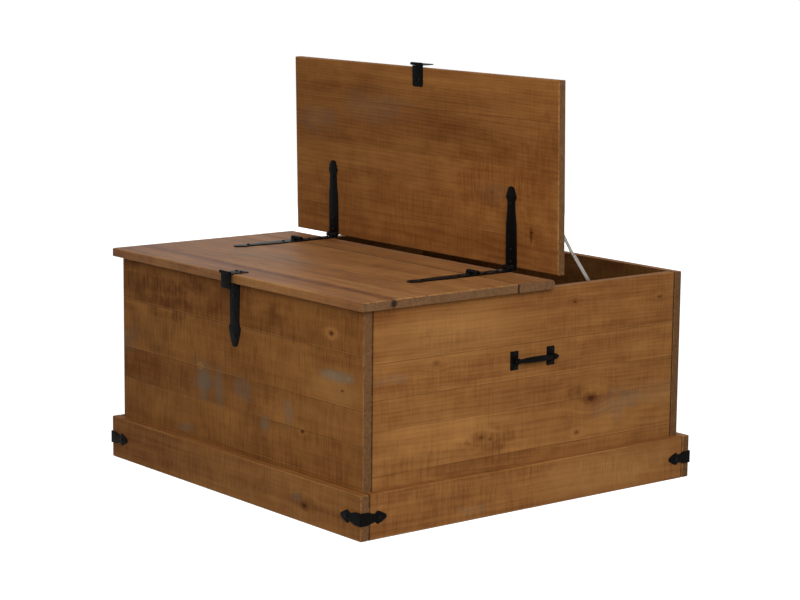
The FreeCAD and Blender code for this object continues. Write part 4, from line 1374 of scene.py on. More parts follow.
@dataclass
class StrapHinge:
    """One strap hinge: a long spear-ended strap, a short leaf and the knuckles on each."""

    half: Half
    side: Side
    iron: Material
    thickness: float = 2.2
    edge: float = 0.7
    barrel: float = 4.5
    cutback: float = 0.5
    lap: float = 0.9
    gap: float = 0.4
    middle: float = 11.0
    width: float = 31.0
    shoulder: tuple[float, float] = (29.5, 84.0)
    neck: tuple[float, float] = (21.5, 127.0)
    finial: tuple[float, float] = (29.5, 136.0)
    length: float = 158.0
    tip: float = 15.0
    leaf_width: float = 29.0
    leaf_length: float = 45.0
    screws_at: tuple[float, ...] = (11.5, 35.0, 124.0)
    leaf_screws_at: tuple[float, ...] = (14.0, 32.0)

    @property
    def x(self) -> float:
        """The hinge's place along the trunk."""
        return self.side.sign * HINGE_X

    def build(self) -> None:
        """Makes the strap and the leaf."""
        self._strap()
        self._leaf()

    def _strap(self) -> None:
        """The long strap on the lid, with the two outer knuckles."""
        start = self.barrel + self.cutback - self.edge
        outline = Spear(start, self.width, self.neck, self.finial, self.length, self.tip,
                        self.shoulder).outline()
        form = Form().plate(outline, self.thickness, self.edge,
                            Matrix.Translation((self.x, HINGE_Y, TOP)))
        half, inner = self.width / 2, self.middle / 2
        for low, high in ((-half, -inner - self.gap), (inner + self.gap, half)):
            self._knuckle(form, low, high, 1.0)
        form.moved(self.half.lid_move)
        node = f"{self.half.value}_strap_{self.side.value}"
        form.piece("forged_" + node, self.half.lid, Slot.IRON, self.iron, [node])

    def _leaf(self) -> None:
        """The short leaf on the centre board, with the middle knuckle."""
        half = self.leaf_width / 2
        near = -self.barrel - self.cutback
        far = -self.leaf_length
        outline = rounded([(half, near, 0.0), (-half, near, 0.0), (-half, far, 1.6),
                           (half, far, 1.6)])
        form = Form().plate(outline, self.thickness, self.edge,
                            Matrix.Translation((self.x, HINGE_Y, TOP)))
        self._knuckle(form, -self.middle / 2, self.middle / 2, -1.0)
        form.moved(self.half.box_move)
        node = f"{self.half.value}_board_leaf_{self.side.value}"
        form.piece("forged_" + node, "trunk", Slot.IRON, self.iron, [node])

    def _knuckle(self, form: Form, low: float, high: float, outward: float) -> None:
        """Adds a knuckle rolled up out of a leaf.

        Args:
            form: The form.
            low: Where it starts along the hinge.
            high: Where it ends.
            outward: 1 for the strap's knuckles, -1 for the leaf's.
        """
        drop = TOP - HINGE_Z
        top = drop + self.thickness
        edge = self.barrel + self.cutback
        profile = [spot(edge + self.lap, drop), spot(1.4, drop)]
        profile += arc_points(self.barrel, KNUCKLE_START, -350.0)
        profile += [spot(self.barrel + 0.05, top * 0.40), spot(self.barrel + 0.25, top * 0.72),
                    spot(edge, top * 0.93), spot(edge + self.lap, top)]
        outline = [spot(point.x * outward, point.y) for point in profile]
        form.bar(outline, high - low, along_x(self.x + low, HINGE_Y, HINGE_Z))

    def screws(self, form: Form) -> None:
        """Adds the strap's screws, as for the shut rear lid.

        Args:
            form: The form of the lid's screws.
        """
        for number, at in enumerate(self.screws_at):
            seat = Vector((self.x, HINGE_Y + at, TOP + self.thickness))
            Screw().add(form, seat, UP, compass(17.0 * number + self.x))

    def leaf_screws(self, form: Form) -> None:
        """Adds the leaf's screws, as for the rear half.

        Args:
            form: The form of the box's screws.
        """
        for number, at in enumerate(self.leaf_screws_at):
            seat = Vector((self.x, HINGE_Y - at, TOP + self.thickness))
            Screw().add(form, seat, UP, compass(31.0 * number - self.x))


def along_x(x: float, y: float, z: float) -> Matrix:
    """The move that lays a cross-section, drawn in Y and Z, along X from a point."""
    return frame_at(Vector((x, y, z)), ALONG_X, ALONG_Y)


def compass(angle: float) -> Vector:
    """A level direction, by its angle from +X in degrees."""
    return spot(math.cos(math.radians(angle)), math.sin(math.radians(angle)))


@dataclass
class HingePins:
    """The pins of the four strap hinges, with domed heads at their left ends."""

    iron: Material
    radius: float = 2.2
    head: float = 3.4
    head_length: float = 2.2
    width: float = 31.0
    gap: float = 0.4

    def build(self) -> None:
        """Makes the pins as one piece."""
        form = Form()
        for half in Half:
            for x in (-HINGE_X, HINGE_X):
                seat = x - self.width / 2 - self.gap
                y = HINGE_Y if half is Half.REAR else -HINGE_Y
                form.lathe(pin_profile(self.radius, self.head, self.head_length,
                                       self.width + self.gap), along_x(seat, y, HINGE_Z))
        form.piece("forged_hinge_pins", "trunk", Slot.IRON, self.iron, ["hinge_pins"])


def pin_profile(radius: float, head: float, head_length: float,
                length: float) -> list[tuple[float, float]]:
    """The profile of a pin with a domed head before its seat at 0.

    Args:
        radius: The pin's radius.
        head: The head's radius.
        head_length: The head's length.
        length: The pin's length after its seat.

    Returns:
        Pairs of distance and radius.
    """
    dome = [(up * head - head_length, wide * head) for up, wide in PIN_DOME]
    return dome + [(-PIN_CHAMFER, head), (0.0, head - PIN_CHAMFER), (0.0, radius),
                   (length - PIN_CHAMFER, radius), (length, radius - PIN_CHAMFER)]


@dataclass
class Hasp:
    """The hasp on a lid's free edge: fixed leaf, swinging flap and pin, and the strap below."""

    half: Half
    iron: Material
    width: float = 32.0
    leaf_length: float = 45.5
    leaf_edge: float = 0.4
    leaf_lap: float = 1.2
    thickness: float = 1.8
    clip: float = 3.0
    axis_out: float = 8.0
    flap_inset: float = 0.09
    head_length: float = 2.2
    axis_height: float = 3.0
    barrel: float = 3.09
    pin: float = 1.6
    flap_knuckle: float = 10.0
    flap_gap: float = 0.5
    flap_thickness: float = 2.0
    flap_length: float = 31.0
    flap_edge: float = 0.45
    flap_lap: float = 1.0
    gap: float = 0.4
    screws_at: float = 31.5
    screw_spacing: float = 15.0
    strap: Spear = Spear(start=0.0, root=33.0, neck=(29.0, 72.0), finial=(38.0, 84.0),
                         length=122.0, tip=15.0)
    strap_thickness: float = 2.2
    strap_edge: float = 0.7
    strap_top_gap: float = 4.0
    strap_screws_at: tuple[float, ...] = (22.0, 58.0, 100.0)

    @property
    def y(self) -> float:
        """The Y of the hasp's hinge, with the lid shut."""
        return LID_EDGE + self.axis_out

    @property
    def z(self) -> float:
        """The Z of the hasp's hinge, with the lid shut."""
        return TOP + self.axis_height

    def build(self) -> None:
        """Makes the leaf, the flap, the pin and the strap."""
        self._leaf()
        self._flap()
        self._pin()
        self._strap()

    def _leaf(self) -> None:
        """The fixed leaf on top of the lid, with the right-hand knuckle."""
        half = self.width / 2
        split = -half + self.flap_knuckle + self.gap
        near = self.y - self.barrel - self.flap_gap
        far = self.y - self.leaf_length
        outline = rounded([(half, near, 0.0), (-half, near, 0.4), (-half, far + self.clip, 0.6),
                           (-half + self.clip, far, 0.6), (half - self.clip, far, 0.6),
                           (half, far + self.clip, 0.6)])
        form = Form().plate(outline, self.thickness, self.leaf_edge,
                            Matrix.Translation(UP * TOP))
        low = -self.axis_height
        high = low + self.thickness
        meet = math.degrees(math.asin(high / self.barrel))
        inner = -self.barrel - self.leaf_lap
        profile = [spot(inner, low), *arc_points(self.barrel, KNUCKLE_START, 180.0 - meet),
                   spot(inner, high)]
        form.bar(profile, half - split, along_x(split, self.y, self.z))
        form.moved(self.half.lid_move)
        node = self.half.value + "_hasp_leaf"
        form.piece("forged_" + node, self.half.lid, Slot.IRON, self.iron, [node])

    def _flap(self) -> None:
        """The flap that hangs over the lid's edge, with the left-hand knuckle."""
        half = self.width / 2
        inner = self.y - self.barrel + self.flap_inset
        top = self.z - self.barrel - self.flap_gap
        low = self.z - self.flap_length
        outline = rounded([(half, low, 1.8), (half, top, 0.5), (-half, top, 0.0),
                           (-half, low, 1.8)])
        stand = frame_at(spot(0.0, inner), ALONG_Y, -ALONG_X)
        form = Form().plate(mirrored(outline), self.flap_thickness, self.flap_edge, stand)
        back = inner - self.y
        face = back + self.flap_thickness
        under = -self.barrel - self.flap_lap
        start = 360.0 - math.degrees(math.acos(back / self.barrel))
        end = -math.degrees(math.acos(face / self.barrel))
        profile = [spot(back, under), *arc_points(self.barrel, start, end), spot(face, under)]
        form.bar(profile, self.flap_knuckle, along_x(-half, self.y, self.z))
        form.moved(self.half.lid_move)
        node = self.half.value + "_hasp_flap"
        form.piece("forged_" + node, node, Slot.IRON, self.iron, [node])

    def _pin(self) -> None:
        """The pin, with its head at the left."""
        form = Form().lathe(pin_profile(self.pin, self.barrel, self.head_length,
                                       self.width + self.gap),
                            along_x(-self.width / 2 - self.gap, self.y, self.z))
        form.moved(self.half.lid_move)
        node = self.half.value + "_hasp_pin"
        form.piece("forged_" + node, self.half.lid, Slot.IRON, self.iron, [node])

    def _strap(self) -> None:
        """The spear-ended strap on the panel below the hasp."""
        hang = frame_at(Vector((0.0, HALF_BOX, BODY_TOP - self.strap_top_gap)), ALONG_Y,
                        ALONG_X)
        form = Form().plate(self.strap.outline(), self.strap_thickness, self.strap_edge, hang)
        form.moved(self.half.box_move)
        node = self.half.value + "_hasp_strap"
        form.piece("forged_" + node, "trunk", Slot.IRON, self.iron, [node])

    def screws(self, form: Form) -> None:
        """Adds the leaf's two screws, as for the shut rear lid.

        Args:
            form: The form of the lid's screws.
        """
        for side in (-1.0, 1.0):
            seat = Vector((side * self.screw_spacing / 2, self.y - self.screws_at,
                           TOP + self.thickness))
            Screw().add(form, seat, UP, compass(40.0 * side))

    def strap_screws(self, form: Form) -> None:
        """Adds the strap's screws, as for the rear half.

        Args:
            form: The form of the box's screws.
        """
        for number, at in enumerate(self.strap_screws_at):
            seat = Vector((0.0, HALF_BOX + self.strap_thickness,
                           BODY_TOP - self.strap_top_gap - at))
            turn = math.radians(23.0 + 41.0 * number)
            Screw().add(form, seat, ALONG_Y, Vector((math.cos(turn), 0.0, math.sin(turn))))


def mirrored(points: Sequence[Vector]) -> list[Vector]:
    """The outline seen from behind, still counter-clockwise."""
    return [spot(-point.x, point.y) for point in reversed(points)]


@dataclass
class CornerBracket:
    """A spear-ended bracket folded round one corner of the plinth."""

    half: Half
    side: Side
    iron: Material
    height: float = 41.5
    thickness: float = 2.5
    spear: Spear = Spear(start=0.0, root=24.5, neck=(15.5, 30.0), finial=(25.0, 37.0),
                         length=58.0, tip=6.0, shoulder=(24.0, 16.0))
    bedding: float = 0.02
    edge: float = 0.7
    screw_at: float = 40.0
    fold_steps: int = 6

    @property
    def corner(self) -> float:
        """How far the plinth's outer faces are from the middle."""
        return HALF_BOX + PLINTH_OUT

    @property
    def move(self) -> Matrix:
        """Takes the rear right bracket to this corner."""
        return self.half.box_move @ self.side.move

    def build(self) -> None:
        """Makes the bracket."""
        wing = self.spear.outline()
        rings = [self._level(wing, self.bedding, 0.0)]
        for turn in EDGE_TURNS:
            angle = math.radians(turn)
            out = self.thickness - self.edge + self.edge * math.sin(angle)
            rings.append(self._level(wing, out, self.edge * (1 - math.cos(angle))))
        form = Form()
        made = form.sides(rings)
        for ring in (made[0], made[-1]):
            self._cap(form, ring, len(wing))
        form.moved(self.move)
        node = f"corner_bracket_{self.half.value}_{self.side.value}"
        form.piece("forged_" + node, "trunk", Slot.IRON, self.iron, [node])

    def _level(self, wing: Sequence[Vector], out: float, drawn_in: float) -> list[Vector]:
        """The bracket's outline at one distance from the wood.

        Args:
            wing: One wing's outline, along +Y from the corner.
            out: The distance from the wood.
            drawn_in: How far the outline is drawn in.

        Returns:
            The points round both wings and the fold.
        """
        flat = list(wing)
        half = self.spear.root / 2
        if drawn_in:
            whole = flat[:-1] + [spot(-half, -1.0), spot(half, -1.0)]
            flat = [spot(half - drawn_in, 0.0)]
            flat += inset(whole, drawn_in)[1:-2]
            flat.append(spot(-half + drawn_in, 0.0))
        rear = [Vector((self.corner - point.y, self.corner + out, self.height + point.x))
                for point in flat]
        side = [Vector((self.corner + out, self.corner - point.y, self.height - point.x))
                for point in flat]
        edge = half - drawn_in
        down = self._fold(out, 0.0, 90.0, self.height + edge)
        up = self._fold(out, 90.0, 0.0, self.height - edge)
        return rear + up + side + down

    def _fold(self, out: float, start: float, end: float, z: float) -> list[Vector]:
        """The points between the two wings on one edge of the fold.

        Args:
            out: The distance from the wood.
            start: The first angle from +X in degrees.
            end: The last angle.
            z: The height of the edge.

        Returns:
            The points, without the wings' own.
        """
        points = []
        for step in range(1, self.fold_steps):
            angle = math.radians(start + (end - start) * step / self.fold_steps)
            points.append(Vector((self.corner + out * math.cos(angle),
                                  self.corner + out * math.sin(angle), z)))
        return points

    def _cap(self, form: Form, ring: Sequence[bmesh.types.BMVert], count: int) -> None:
        """Closes the bracket's inner or outer face: two flat wings and the fold's strips.

        Args:
            form: The form.
            ring: The face's outline.
            count: The number of points in each wing.
        """
        between = self.fold_steps - 1
        rear = ring[:count]
        up = ring[count:count + between]
        side = ring[count + between:2 * count + between]
        down = ring[2 * count + between:]
        form.mesh.faces.new(rear)
        form.mesh.faces.new(side)
        low = [rear[-1], *up, side[0]]
        high = [rear[0], *reversed(down), side[-1]]
        for i in range(len(low) - 1):
            form.mesh.faces.new((low[i], low[i + 1], high[i + 1], high[i]))

    def screws(self, form: Form) -> None:
        """Adds the bracket's two screws.

        Args:
            form: The form of the brackets' screws.
        """
        out = self.corner + self.thickness
        back = self.corner - self.screw_at
        for seat, way in ((Vector((back, out, self.height)), ALONG_Y),
                          (Vector((out, back, self.height)), ALONG_X)):
            turned = (self.move.to_3x3() @ way).normalized()
            aside = Vector((turned.y, -turned.x, 0.6))
            Screw().add(form, self.move @ seat, turned, aside.normalized())


@dataclass
class BarHandle:
    """A turned bar between two plates with lugs, on one end of the trunk."""

    side: Side
    iron: Material
    height: float = 287.0
    centre: float = 4.0
    spread: float = 92.0
    plate_width: float = 19.0
    plate_height: float = 36.0
    plate_thickness: float = 2.5
    plate_corner: float = 1.5
    plate_edge: float = 0.7
    lug_length: float = 8.0
    lug_radius: float = 5.0
    lug_flare: tuple[float, float] = (1.6, 0.9)
    lug_sunk: float = 0.4
    reach: float = 14.0
    belly: float = 5.8
    neck: float = 3.2
    waist: tuple[tuple[float, float], ...] = ((0.5, 2.3), (1.2, 1.9))
    ball: float = 3.1
    ball_gap: float = 0.4
    ball_tip: float = 0.35
    swell_steps: int = 12
    swell_power: float = 2.6
    screw_offset: float = 12.5

    def build(self) -> None:
        """Makes the plates and the bar."""
        form = Form()
        for y in self._plates():
            self._plate(form, y)
        form.moved(self.side.move)
        node = self.side.value + "_handle_plates"
        form.piece("forged_" + node, "trunk", Slot.IRON, self.iron, [node])
        self._bar()

    def _plates(self) -> tuple[float, float]:
        """The Y of the two plates."""
        return self.centre - self.spread / 2, self.centre + self.spread / 2

    def _plate(self, form: Form, y: float) -> None:
        """Adds one plate with its lug.

        Args:
            form: The form.
            y: The plate's middle.
        """
        wide, tall = self.plate_width / 2, self.plate_height / 2
        outline = rounded([(x, z, self.plate_corner) for x, z in
                           ((-wide, -tall), (wide, -tall), (wide, tall), (-wide, tall))])
        against = frame_at(Vector((HALF_BOX, y, self.height)), ALONG_X, ALONG_Y)
        form.plate(outline, self.plate_thickness, self.plate_edge, against)
        nose = arc_points(self.lug_radius, -90.0, 90.0)
        lug = [spot(point.x + self.reach, point.y) for point in nose]
        foot = self.plate_thickness - self.lug_sunk
        rise, flare = self.lug_flare
        lug += [spot(foot + rise, self.lug_radius), spot(foot, self.lug_radius + flare),
                spot(foot, -self.lug_radius - flare), spot(foot + rise, -self.lug_radius)]
        across = frame_at(Vector((HALF_BOX, y + self.lug_length / 2, self.height)), -ALONG_Y,
                          ALONG_X)
        form.bar(lug, self.lug_length, across)

    def _bar(self) -> None:
        """The grip: swelling to its middle, necked in the lugs, with a ball at each end."""
        inner = self.spread / 2 - self.lug_length / 2
        outer = self.spread / 2 + self.lug_length / 2
        centre = outer + self.ball_gap + 0.6 * self.ball
        half: list[tuple[float, float]] = []
        for step in range(self.swell_steps + 1):
            share = step / self.swell_steps
            thinner = (self.belly - self.neck) * share ** self.swell_power
            half.append((share * inner, self.belly - thinner))
        half.append((outer - 0.05, self.neck))
        half += [(outer + past, radius) for past, radius in self.waist]
        for turn in range(-58, 91, 16):
            angle = math.radians(turn)
            half.append((centre + self.ball * math.sin(angle),
                         max(self.ball * math.cos(angle), self.ball_tip)))
        profile = [(-at, radius) for at, radius in reversed(half[1:])] + half
        lie = frame_at(Vector((HALF_BOX + self.reach, self.centre, self.height)), ALONG_Y,
                       ALONG_X)
        form = Form().lathe(profile, lie, 36).moved(self.side.move)
        node = self.side.value + "_handle_bar"
        form.piece("turned_" + node, "trunk", Slot.IRON, self.iron, [node], edge=0.0, crease=50.0)

    def screws(self, form: Form) -> None:
        """Adds the plates' screws.

        Args:
            form: The form of the box's screws.
        """
        out = self.side.move.to_3x3() @ ALONG_X
        for y in self._plates():
            for side in (-1.0, 1.0):
                seat = self.side.move @ Vector((HALF_BOX + self.plate_thickness, y,
                                                self.height + side * self.screw_offset))
                turn = math.radians(35.0 * side + y)
                aside = Vector((0.0, math.cos(turn), math.sin(turn)))
                Screw().add(form, seat, out, aside)


@dataclass
class ScrewGroups:
    """All the screws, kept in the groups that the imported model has."""

    screw_iron: Material
    hinges: Sequence[StrapHinge]
    hasps: Sequence[Hasp]
    brackets: Sequence[CornerBracket]
    handles: Sequence[BarHandle]

    def build(self) -> None:
        """Makes one piece for each group of black screws."""
        box = Form()
        for half in Half:
            lid, own = Form(), Form()
            for hinge in self.hinges:
                if hinge.half is half:
                    hinge.screws(lid)
                    hinge.leaf_screws(own)
            for hasp in self.hasps:
                if hasp.half is half:
                    hasp.screws(lid)
                    hasp.strap_screws(own)
            lid.moved(half.lid_move)
            node = half.value + "_lid_screws"
            self._piece(lid, node, half.lid)
            own.moved(half.box_move)
            box.take(own)
        for handle in self.handles:
            handle.screws(box)
        self._piece(box, "box_screws", "trunk")
        corners = Form()
        for bracket in self.brackets:
            bracket.screws(corners)
        self._piece(corners, "corner_bracket_screws", "trunk")

    def _piece(self, form: Form, node: str, body: str) -> None:
        """Turns a group's form into its piece."""
        form.piece("heads_of_" + node, body, Slot.SCREW, self.screw_iron, [node], edge=0.0,
                   crease=HEAD_CREASE)


@dataclass
class LidStay:
    """A folding stay at the right end of one lid: two links, three rivets and two brackets."""

    half: Half
    steel: Material
    plate: float = 1.8
    link: float = 2.0
    gap: float = 0.3
    upper_width: float = 6.0
    lower_width: float = 7.5
    lower_extra: float = 31.5
    slack: float = 3.3
    lid_reach: float = 100.0
    lid_drop: float = 12.0
    box_reach: float = 153.75
    box_drop: float = 45.7
    rivet: float = 1.7
    rivet_head: float = 3.0
    rivet_height: float = 1.2
    ear: float = 7.0
    foot_length: float = 32.0
    foot_width: float = 20.0
    box_plate: float = 16.0
    box_tail: float = 35.0
    box_screws_at: tuple[float, float] = (13.0, 27.0)

    @property
    def lower_x(self) -> float:
        """The near side of the lower link."""
        return INNER_END - self.plate - self.gap - self.link

    @property
    def upper_x(self) -> float:
        """The near side of the upper link."""
        return self.lower_x - self.gap - self.link

    @property
    def ear_x(self) -> float:
        """The near side of the lid bracket's ear."""
        return self.upper_x - self.gap - self.plate

    @property
    def box_pivot(self) -> Vector:
        """Where the lower link turns on the box, as for the rear half."""
        return Vector((0.0, HINGE_Y + self.box_reach, BODY_TOP - self.box_drop))

    @property
    def shut_pivot(self) -> Vector:
        """Where the upper link turns on the shut rear lid."""
        return Vector((0.0, HINGE_Y + self.lid_reach, LID_UNDERSIDE - self.lid_drop))

    def build(self) -> None:
        """Makes every piece of the stay."""
        open_pivot = Half.REAR.lid_move @ self.shut_pivot
        elbow = self._straight_elbow(open_pivot)
        lengths = (elbow - open_pivot).length, (elbow - self.box_pivot).length
        pivot = open_pivot
        if self.half is Half.FRONT:
            pivot = self.shut_pivot
            elbow = self._folded_elbow(*lengths)
        self._upper(pivot, elbow)
        self._lower(elbow)
        self._elbow_rivet(elbow)
        self._lid_bracket()
        self._box_bracket()

    def _straight_elbow(self, lid_pivot: Vector) -> Vector:
        """Where the two links meet with the lid standing open.

        Args:
            lid_pivot: Where the upper link turns on the open lid.

        Returns:
            The elbow, a little off the straight line.
        """
        span = self.box_pivot - lid_pivot
        along = (span.length - self.lower_extra) / 2
        way = span.normalized()
        return lid_pivot + way * along + Vector((0.0, way.z, -way.y)) * self.slack

    def _folded_elbow(self, upper: float, lower: float) -> Vector:
        """Where the two links meet with the lid shut.

        Args:
            upper: The upper link's length.
            lower: The lower link's length.

        Returns:
            The elbow, on the hinge side of the pivots.
        """
        span = self.box_pivot - self.shut_pivot
        along = (upper ** 2 - lower ** 2 + span.length ** 2) / (2 * span.length)
        aside = math.sqrt(upper ** 2 - along ** 2)
        way = span.normalized()
        return self.shut_pivot + way * along + Vector((0.0, way.z, -way.y)) * aside

    def _bar(self, form: Form, start: Vector, end: Vector, width: float, x: float) -> None:
        """Adds a flat round-ended link.

        Args:
            form: The form.
            start: Its first pivot.
            end: Its second pivot.
            width: Its width.
            x: Its near side.
        """
        length = (end - start).length
        near = arc_points(width / 2, 90.0, 270.0, 15.0)
        far = [point + ALONG_X * length for point in arc_points(width / 2, -90.0, 90.0, 15.0)]
        way = (end - start).normalized()
        lie = frame_at(Vector((x, start.y, start.z)), ALONG_X, way)
        form.bar(near + far, self.link, lie)

    def _head(self, form: Form, x: float, at: Vector, outward: float) -> None:
        """Adds a domed rivet head.

        Args:
            form: The form.
            x: The side that it sits on.
            at: Its centre.
            outward: 1 where it points to +X, -1 where it points to -X.
        """
        way = frame_at(Vector((x, at.y, at.z)), ALONG_X * outward, ALONG_Y)
        dome = [(self.rivet_height * up, self.rivet_head * wide) for up, wide in RIVET_DOME]
        form.lathe(dome, way, ROUND_SIDES)

    def _shank(self, form: Form, low: float, high: float, at: Vector) -> None:
        """Adds a rivet's round body between two X values."""
        form.lathe([(0.0, self.rivet), (high - low, self.rivet)], along_x(low, at.y, at.z),
                   ROUND_SIDES)

    def _piece(self, form: Form, kind: str, body: str, move: Matrix | None = None) -> None:
        """Turns a form made for the rear half into its piece.

        Args:
            form: The form.
            kind: What the piece is.
            body: The body that it moves with.
            move: Where it goes, or None for this half of the box.
        """
        form.moved(self.half.box_move if move is None else move)
        node = f"{self.half.value}_{kind}"
        form.piece("plated_" + node, body, Slot.STEEL, self.steel, [node], edge=0.25)

    def _upper(self, pivot: Vector, elbow: Vector) -> None:
        """The upper link, with the elbow rivet's cap on it, and the rivet on the lid.

        Args:
            pivot: Where the link turns on the lid.
            elbow: Where it meets the lower link.
        """
        form = Form()
        self._bar(form, pivot, elbow, self.upper_width, self.upper_x)
        self._head(form, self.upper_x, elbow, -1.0)
        self._piece(form, "stay_upper_link", self.half.value + "_stay_upper")
        rivet = Form()
        end = self.upper_x + self.link + self.gap
        self._head(rivet, self.ear_x, self.shut_pivot, -1.0)
        self._shank(rivet, self.ear_x, end, self.shut_pivot)
        self._head(rivet, end, self.shut_pivot, 1.0)
        self._piece(rivet, "stay_lid_rivet", self.half.lid, self.half.lid_move)

    def _lower(self, elbow: Vector) -> None:
        """The lower link.

        Args:
            elbow: Where it meets the upper link.
        """
        form = Form()
        self._bar(form, self.box_pivot, elbow, self.lower_width, self.lower_x)
        self._piece(form, "stay_lower_link", self.half.value + "_stay_lower")

    def _elbow_rivet(self, elbow: Vector) -> None:
        """The rivet at the elbow, on the lower link.

        Args:
            elbow: Where the links meet.
        """
        form = Form()
        end = self.lower_x + self.link
        self._shank(form, self.lower_x, end, elbow)
        self._head(form, end, elbow, 1.0)
        self._piece(form, "stay_elbow_rivet", self.half.value + "_stay_lower")

    def _lid_bracket(self) -> None:
        """The angle bracket under the lid, and its two screws."""
        pivot = self.shut_pivot
        half = self.foot_length / 2
        far = self.ear_x + self.plate
        near = far - self.foot_width
        outline = rounded([(near, pivot.y - half, 3.0), (far, pivot.y - half, 0.0),
                           (far, pivot.y + half, 0.0), (near, pivot.y + half, 3.0)])
        form = Form()
        foot_z = LID_UNDERSIDE - self.plate
        form.bar(outline, self.plate, Matrix.Translation(UP * foot_z))
        drop = pivot.z - LID_UNDERSIDE
        ear = [spot(half, 0.0), spot(-half, 0.0)]
        ear += [spot(point.x, point.y + drop) for point in arc_points(self.ear, 180.0, 360.0)]
        form.bar(ear, self.plate, along_x(self.ear_x, pivot.y, LID_UNDERSIDE))
        self._piece(form, "stay_lid_bracket", self.half.lid, self.half.lid_move)
        screws = Form()
        for side in (-1.0, 1.0):
            seat = Vector((far - self.foot_width / 2, pivot.y + side * self.foot_length / 4,
                           foot_z))
            Screw().add(screws, seat, -UP, compass(25.0 * side))
        screws.moved(self.half.lid_move)
        node = self.half.value + "_stay_lid_screws"
        screws.piece("heads_of_" + node, self.half.lid, Slot.STEEL, self.steel, [node], edge=0.0,
                     crease=HEAD_CREASE)

    def _box_bracket(self) -> None:
        """The plate on the end panel that carries the lower link."""
        pivot = self.box_pivot
        half = self.box_plate / 2
        outline = [spot(half, -self.box_tail), *arc_points(half, 0.0, 180.0),
                   spot(-half, -self.box_tail)]
        form = Form().bar(outline, self.plate,
                          along_x(INNER_END - self.plate, pivot.y, pivot.z))
        self._piece(form, "stay_box_bracket", "trunk")

    def box_rivet(self, form: Form) -> None:
        """Adds the rivet on the box's plate, as for the rear half.

        Args:
            form: The form.
        """
        start = self.lower_x - self.gap
        self._head(form, start, self.box_pivot, -1.0)
        self._shank(form, start, INNER_END, self.box_pivot)

    def box_screws(self, form: Form) -> None:
        """Adds the screws of the box's plate, as for the rear half.

        Args:
            form: The form.
        """
        for at in self.box_screws_at:
            seat = Vector((INNER_END - self.plate, self.box_pivot.y,
                           self.box_pivot.z - at))
            turn = math.radians(20.0 + at * 7.0)
            Screw().add(form, seat, -ALONG_X, Vector((0.0, math.cos(turn), math.sin(turn))))


@dataclass
class StayFixings:
    """The rivets and screws that hold both stays to the box."""

    stays: Sequence[LidStay]
    steel: Material

    def build(self) -> None:
        """Makes the rivets as one piece and the screws as another."""
        for kind, node in ((LidStay.box_rivet, "stay_box_rivets"),
                           (LidStay.box_screws, "stay_box_screws")):
            whole = Form()
            for stay in self.stays:
                own = Form()
                kind(stay, own)
                own.moved(stay.half.box_move)
                whole.take(own)
            whole.piece("plated_" + node, "trunk", Slot.STEEL, self.steel, [node], edge=0.0,
                        crease=HEAD_CREASE)


# ---- Studio ----

@dataclass(frozen=True)
class Softbox:
    """One soft lamp, aimed at a point of the trunk."""

    name: str
    at: tuple[float, float, float]
    aim: tuple[float, float, float]
    size: tuple[float, float]
    watts: float
    glints: bool = True

    def light(self) -> None:
        """Puts the lamp in the scene."""
        lamp = bpy.data.lights.new(self.name, "AREA")
        lamp.shape = "RECTANGLE"
        lamp.size, lamp.size_y = self.size
        lamp.energy = self.watts
        placed = bpy.data.objects.new(self.name, lamp)
        placed.location = self.at
        placed.visible_glossy = self.glints
        towards = Vector(self.aim) - Vector(self.at)
        placed.rotation_euler = towards.to_track_quat("-Z", "Y").to_euler()
        bpy.context.scene.collection.objects.link(placed)


